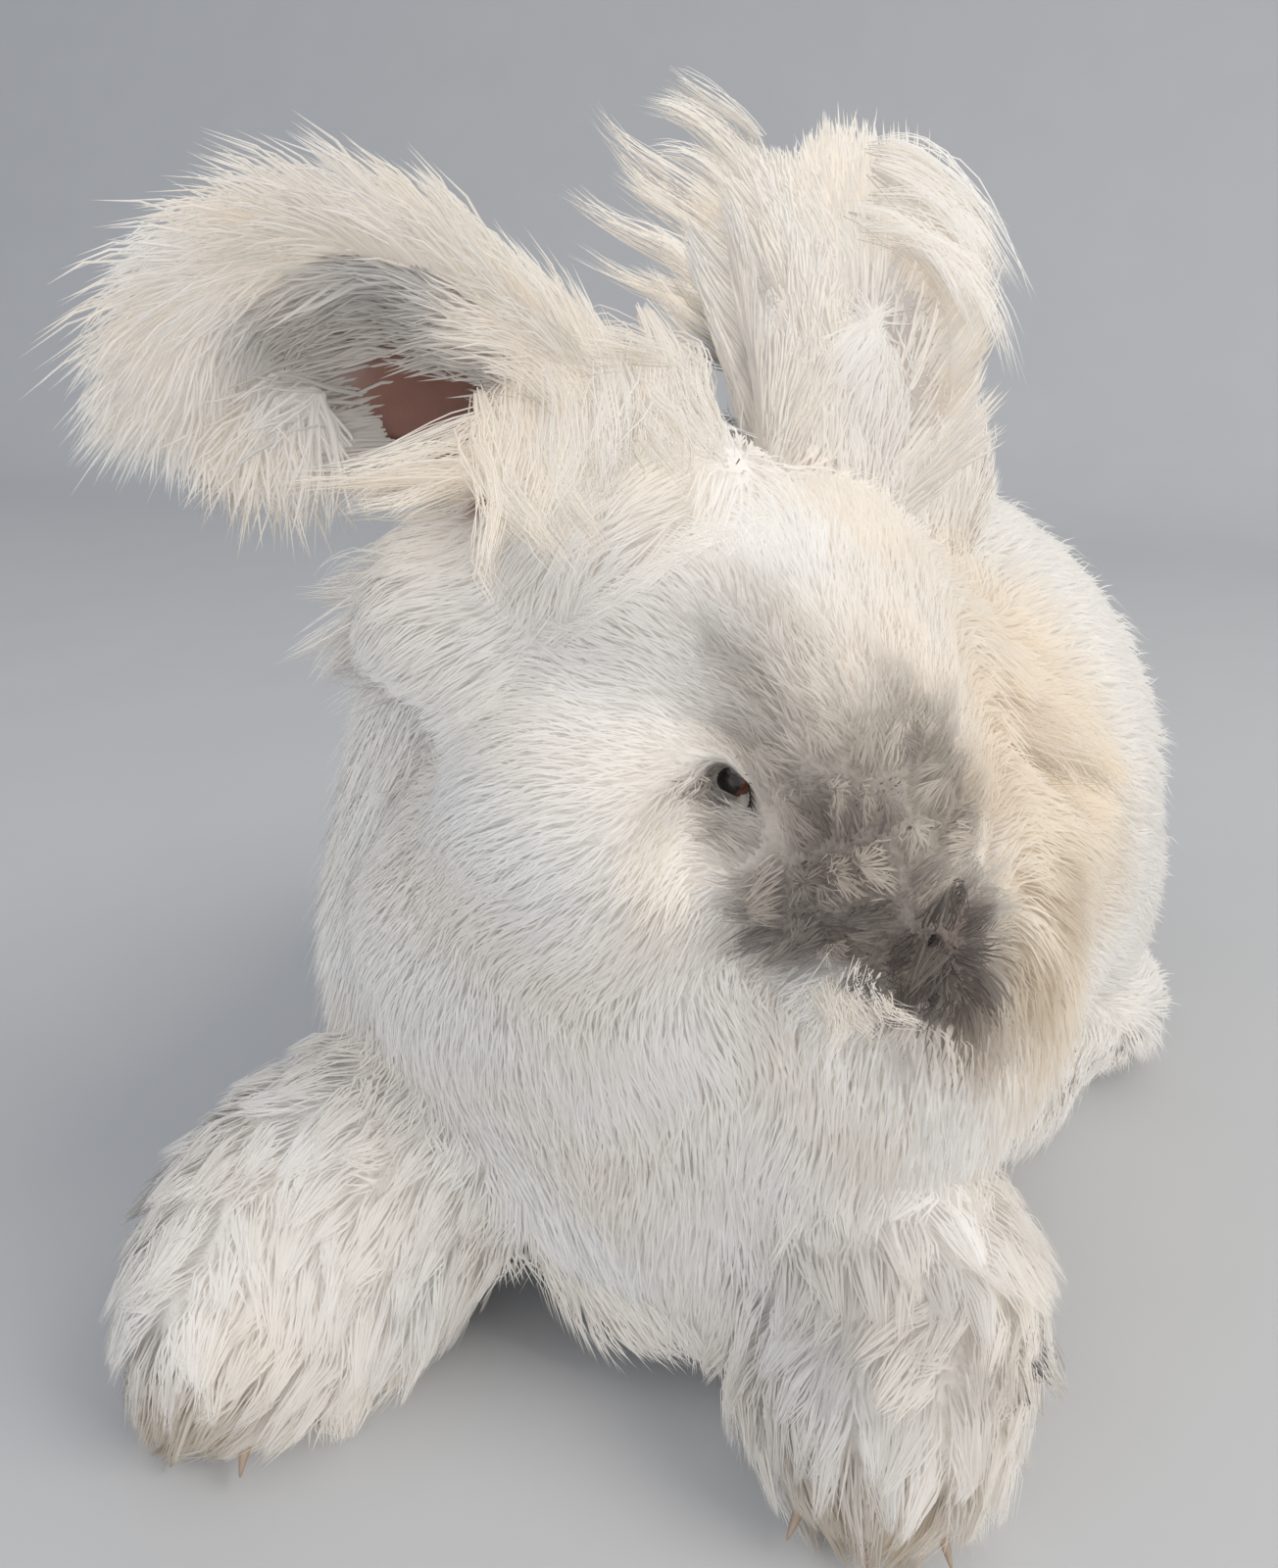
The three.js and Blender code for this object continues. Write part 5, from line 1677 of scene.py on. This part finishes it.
class Wiring:
    """Short calls for building a material's nodes; inputs are given sockets or plain values."""

    def __init__(self, tree: NodeTree) -> None:
        """Keep the tree that nodes are added to."""
        self.tree = tree

    def node(self, kind: str, **settings: object) -> Node:
        """Add a node and set its plain settings."""
        made = self.tree.nodes.new(kind)
        for name, value in settings.items():
            setattr(made, name, value)
        return made

    def put(self, target: NodeSocket, given: object) -> None:
        """Link an input to a socket, or set it to a number or a colour."""
        if isinstance(given, NodeSocket):
            self.tree.links.new(given, target)
        else:
            target.default_value = (*given, 1) if isinstance(given, tuple) else given

    def value(self, name: str) -> NodeSocket:
        """Return the number stored on the mesh under that name."""
        return self.node("ShaderNodeAttribute", attribute_name=name).outputs["Fac"]

    def markings(self) -> dict[str, NodeSocket]:
        """Return the markings' strengths under the names of the shared group's inputs."""
        return {name: self.value(name.lower()) for name in ("Smoke", "Cream", "Stain")}

    def feed(self, node: Node, given: dict[str, object]) -> None:
        """Link or set a node's inputs by name."""
        for name, value in given.items():
            self.put(node.inputs[name], value)

    def math(self, how: str, *numbers: object) -> NodeSocket:
        """Return the result of one sum of sockets or numbers."""
        made = self.node("ShaderNodeMath", operation=how)
        for target, given in zip(made.inputs, numbers):
            self.put(target, given)
        return made.outputs[0]

    def mix(self, share: object, first: object, second: object, how: str = "MIX") -> NodeSocket:
        """Return two colours blended by a share; each is a socket or plain."""
        made = self.node("ShaderNodeMix", data_type="RGBA", blend_type=how)
        for index, given in ((0, share), (6, first), (7, second)):
            self.put(made.inputs[index], given)
        return made.outputs[2]

    def noise(self, scale: float, detail: float = 2.0,
              place: NodeSocket | None = None) -> NodeSocket:
        """Return a cloudy number, at the given place or at the object's own places."""
        made = self.node("ShaderNodeTexNoise")
        if place is None:
            place = self.node("ShaderNodeTexCoord").outputs["Object"]
        self.feed(made, {"Scale": scale, "Detail": detail, "Vector": place})
        return made.outputs[0]

    def between(self, value: NodeSocket, low: float, high: float,
                least: float = 0.0, most: float = 1.0) -> NodeSocket:
        """Return a number that goes from least to most as the value goes from low to high."""
        made = self.node("ShaderNodeMapRange")
        self.feed(made, {"Value": value, "From Min": low, "From Max": high,
                         "To Min": least, "To Max": most})
        return made.outputs[0]

    def darkened(self, colour: NodeSocket, by: NodeSocket) -> NodeSocket:
        """Return a colour multiplied by one number."""
        grey = self.node("ShaderNodeCombineColor")
        for channel in grey.inputs[:3]:
            self.put(channel, by)
        return self.mix(1.0, colour, grey.outputs[0], "MULTIPLY")

    def bump(self, height: NodeSocket, strength: float, rise: float) -> NodeSocket:
        """Return shading normals that follow a height; rise is in metres."""
        made = self.node("ShaderNodeBump")
        self.feed(made, {"Strength": strength, "Distance": rise, "Height": height})
        return made.outputs[0]


def new_group(name: str, inputs: tuple[str, ...],
              output: tuple[str, str]) -> tuple[NodeTree, Wiring]:
    """Return a new node group with number inputs and one output, by its name and kind."""
    group = bpy.data.node_groups.new(name, "ShaderNodeTree")
    for each in inputs:
        group.interface.new_socket(each, in_out="INPUT", socket_type="NodeSocketFloat")
    group.interface.new_socket(output[0], in_out="OUTPUT", socket_type=output[1])
    return group, Wiring(group)


def wool_tones_group() -> NodeTree:
    """Build the shared group that turns markings into a wool colour.

    Inputs are the strengths of smoke, cream and stain, the share along the tuft and a tint;
    the output is one colour, darker and warmer at the roots: painted shade deep in the coat.
    """
    group, wire = new_group("wool_tones", ("Smoke", "Cream", "Stain", "Along", "Tint"),
                            ("Color", "NodeSocketColor"))
    given = wire.node("NodeGroupInput").outputs
    # Painted shade: every tone grows darker towards the root of a tuft, deep in the coat.
    lit = wire.math("POWER", given["Along"], 0.7)
    white = wire.mix(lit, (0.90, 0.875, 0.845), (0.97, 0.96, 0.945))
    cream = wire.mix(lit, (0.76, 0.62, 0.48), (0.95, 0.85, 0.71))
    speckle = wire.math("MULTIPLY", wire.math("POWER", given["Tint"], 1.3), lit)
    smoke = wire.mix(speckle, (0.064, 0.05, 0.047), (0.68, 0.59, 0.5))
    stain = wire.mix(lit, (0.25, 0.17, 0.10), (0.52, 0.42, 0.30))
    mixed = wire.mix(given["Cream"], white, cream)
    mixed = wire.mix(given["Stain"], mixed, stain)
    mixed = wire.mix(given["Smoke"], mixed, smoke)
    result = wire.darkened(mixed, wire.math("MULTIPLY_ADD", given["Tint"], 0.08, 0.93))
    wire.feed(wire.node("NodeGroupOutput"), {"Color": result})
    return group


def strand_group() -> NodeTree:
    """Build the shared group that draws fine hairs along each tuft.

    The noise is stretched along the tuft: its place is (around * lines, along * 1.5,
    tint * 91).
    """
    group, wire = new_group("strand_lines", ("Around", "Along", "Tint", "Lines"),
                            ("Height", "NodeSocketFloat"))
    given = wire.node("NodeGroupInput").outputs
    place = wire.node("ShaderNodeCombineXYZ")
    wire.feed(place, {"X": wire.math("MULTIPLY", given["Around"], given["Lines"]),
                      "Y": wire.math("MULTIPLY", given["Along"], 1.5),
                      "Z": wire.math("MULTIPLY", given["Tint"], 91.0)})
    noise = wire.noise(1.0, place=place.outputs[0])
    wire.feed(wire.node("NodeGroupOutput"), {"Height": noise})
    return group


def new_material(name: str) -> tuple[Material, Wiring, Node]:
    """Return a new material, the wiring of its nodes and its surface shader."""
    material = bpy.data.materials.new(name)
    material.use_nodes = True
    return material, Wiring(material.node_tree), material.node_tree.nodes["Principled BSDF"]


@dataclass(frozen=True)
class WoolFinish:
    """Fine wool: soft and dull, with a faint sheen and hair lines along each tuft."""

    tones: NodeTree
    strands: NodeTree
    name: str = "angora_wool"
    roughness: float = 0.78
    lines: float = 7.0
    line_strength: float = 0.15

    def material(self) -> Material:
        """Build the material of the coat's pieces."""
        made, wire, shader = new_material(self.name)
        tones = wire.node("ShaderNodeGroup", node_tree=self.tones)
        strands = wire.node("ShaderNodeGroup", node_tree=self.strands)
        shared = {"Along": wire.value("along"), "Tint": wire.value("tint")}
        wire.feed(tones, shared | wire.markings())
        wire.feed(strands, shared | {"Around": wire.value("around"), "Lines": self.lines})
        line = strands.outputs[0]
        wire.feed(shader, {
            "Base Color": wire.darkened(tones.outputs[0], wire.between(line, 0.3, 0.6, 0.93)),
            "Normal": wire.bump(line, self.line_strength, 0.0003),
            "Roughness": self.roughness, "Specular IOR Level": 0.25,
            "Sheen Weight": 0.25, "Sheen Roughness": 0.5})
        return made


@dataclass(frozen=True)
class SkinFinish:
    """The skin under the wool: short down in the coat's tones, and bare pinkish skin."""

    tones: NodeTree
    name: str = "downy_skin"
    pink: tuple[float, float, float] = (0.30, 0.135, 0.10)
    pink_dark: tuple[float, float, float] = (0.10, 0.05, 0.04)

    def material(self) -> Material:
        """Build the material of the skin."""
        made, wire, shader = new_material(self.name)
        tones = wire.node("ShaderNodeGroup", node_tree=self.tones)
        down = wire.noise(900.0, 3.0)
        # The down takes the tone a third of the way up a tuft, with part of the painted root shade.
        wire.feed(tones, wire.markings() | {"Along": 0.35, "Tint": down})
        bare = wire.mix(wire.noise(70.0), self.pink_dark, self.pink)
        wire.feed(shader, {
            "Base Color": wire.mix(wire.value("pink"), tones.outputs[0], bare),
            "Normal": wire.bump(down, 0.35, 0.0006), "Roughness": 0.7})
        return made


@dataclass(frozen=True)
class EyeFinish:
    """A glossy eye: black pupil, reddish-brown iris with fine rays, darker rim."""

    name: str = "brown_eye"
    pupil: float = 0.34
    iris: float = 0.95

    def material(self) -> Material:
        """Build the material of the eyes from the angle off the gaze."""
        made, wire, shader = new_material(self.name)
        angle = wire.value("angle")
        iris = wire.mix(wire.noise(900.0), (0.05, 0.017, 0.01), (0.16, 0.055, 0.03))
        in_iris = wire.between(angle, self.pupil, self.pupil + 0.06)
        in_rim = wire.between(angle, self.iris, self.iris + 0.12)
        colour = wire.mix(in_iris, (0.004, 0.003, 0.003), iris)
        wire.feed(shader, {
            "Base Color": wire.mix(in_rim, colour, (0.03, 0.012, 0.01)),
            "Roughness": 0.06, "Coat Weight": 1.0, "Coat Roughness": 0.03})
        return made


@dataclass(frozen=True)
class HornFinish:
    """Claws, whiskers and lashes: smooth horn, streaked along its length."""

    name: str
    light: tuple[float, float, float]
    dark: tuple[float, float, float]
    roughness: float = 0.4

    def material(self) -> Material:
        """Build the material with a soft streaked colour."""
        made, wire, shader = new_material(self.name)
        streaks = wire.mix(wire.noise(400.0), self.dark, self.light)
        wire.feed(shader, {"Base Color": streaks, "Roughness": self.roughness})
        return made


@dataclass
class Studio:
    """A pale floor and backdrop, soft lamps, and the camera of the picture."""

    placing: Placing
    camera_at: Array = field(default_factory=lambda: vec(83, -330, 232))
    azimuth_deg: float = 20.0
    pitch_deg: float = 20.0
    lens: float = 1307 / 1600 * 36
    aim: tuple[float, float, float] = (0.0, 0.0, 0.13)
    backdrop_rise: float = 1.9
    FLOOR_GRID: ClassVar[tuple[int, int]] = (31, 61)

    def floor(self) -> None:
        """Make the floor, which curves up behind into a backdrop.

        Height = rise * smooth(y)^1.5, where smooth goes from 0 at 1.1 m to 1 at 2.4 m.
        """
        columns, rows = self.FLOOR_GRID
        across, back = np.meshgrid(np.linspace(-2.6, 2.6, columns), np.linspace(-2.2, 2.4, rows))
        height = self.backdrop_rise * ease(back, 1.1, 2.4) ** 1.5
        starts = [row * columns + index for row in range(rows - 1) for index in range(columns - 1)]
        faces = [(start, start + 1, start + columns + 1, start + columns) for start in starts]
        mesh = new_mesh("floor", np.stack([across, back, height], -1).reshape(-1, 3), faces)
        smooth_shade(mesh)
        floor = new_object("floor", mesh)
        made, wire, shader = new_material("pale_floor")
        grain = wire.mix(wire.noise(14.0), (0.52, 0.53, 0.55), (0.55, 0.56, 0.58))
        wire.feed(shader, {"Base Color": grain, "Roughness": 0.75})
        mesh.materials.append(made)

    def lamp(self, name: str, at: tuple[float, ...], power: float, size: float,
             tone: tuple[float, ...]) -> None:
        """Add one soft square lamp that shines on the middle of the animal."""
        data = bpy.data.lights.new(name, "AREA")
        data.energy = power
        data.size = size
        data.color = tone
        lamp = new_object(name, data)
        lamp.location = at
        lamp.rotation_euler = (Vector(self.aim) - Vector(at)).to_track_quat("-Z", "Y").to_euler()

    def camera(self) -> None:
        """Add the camera of the picture, which looks down by the pitch and along the azimuth."""
        data = bpy.data.cameras.new("camera")
        data.lens = self.lens
        data.sensor_width = 36
        data.clip_start = 0.01
        camera = new_object("camera", data)
        camera.location = self.placing.metres(self.camera_at)
        camera.rotation_euler = (math.radians(90 - self.pitch_deg), 0,
                                 math.radians(self.azimuth_deg))
        bpy.context.scene.camera = camera

    def build(self) -> None:
        """Make the floor, lamps, sky and camera."""
        self.floor()
        self.lamp("key_lamp", (1.25, 0.0, 1.3), 16, 0.9, (1.0, 0.94, 0.85))
        self.lamp("fill_lamp", (-1.0, -1.7, 1.3), 13, 2.4, (0.97, 0.98, 1.0))
        self.lamp("front_lamp", (0.7, -1.9, 0.6), 6, 1.8, (1.0, 0.98, 0.95))
        world = bpy.data.worlds.new("studio")
        world.use_nodes = True
        sky = world.node_tree.nodes["Background"].inputs
        sky[0].default_value = (0.93, 0.96, 1.0, 1)
        sky[1].default_value = 0.52
        bpy.context.scene.world = world
        self.camera()
        bpy.context.scene.view_settings.view_transform = "Standard"


def dress(piece: Object, material: Material) -> None:
    """Give a piece its material and make it move with the body.

    Wool lets light through, so the coat throws no hard shadow.
    """
    piece.data.materials.append(material)
    piece.visible_shadow = not piece.name.startswith("coat")
    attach(piece, "root")
    log.info("%s: %d faces", piece.name, len(piece.data.polygons))


def main() -> None:
    """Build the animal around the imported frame, then the studio."""
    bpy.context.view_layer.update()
    animal = Animal()
    placing = Placing(animal.head)
    markings = Markings(animal.head)
    Studio(placing).build()
    tones, strands = wool_tones_group(), strand_group()
    wool = WoolFinish(tones, strands).material()
    skin = Skin(animal, placing, markings)
    body = skin.build()
    dress(body, SkinFinish(tones).material())
    flesh = [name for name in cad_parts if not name.startswith("eye")]
    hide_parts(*flesh)
    coat_field = Field(animal.forms(), skin.depth)
    for piece, slot in Coat(animal, placing, markings).build(body, coat_field).items():
        dress(piece, wool)
    for piece in EarCoat(animal, placing, markings).build() + Locks(placing).build():
        dress(piece, wool)
    eye = EyeFinish().material()
    for node, piece in Eyes(animal.head, placing).build().items():
        dress(piece, eye)
        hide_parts(node)
    trimmings = Trimmings(animal, placing)
    claw = HornFinish("claw_horn", (0.5, 0.40, 0.31), (0.28, 0.2, 0.15)).material()
    for piece in trimmings.claws():
        dress(piece, claw)
    pale = HornFinish("whisker_hair", (0.85, 0.82, 0.78), (0.6, 0.56, 0.52)).material()
    dress(trimmings.whiskers(), pale)
    dark = HornFinish("lash_hair", (0.03, 0.02, 0.02), (0.01, 0.008, 0.008)).material()
    dress(trimmings.lashes(), dark)


if __name__ == "__main__":
    logging.basicConfig(level=logging.INFO, format="%(name)s: %(message)s")
    main()
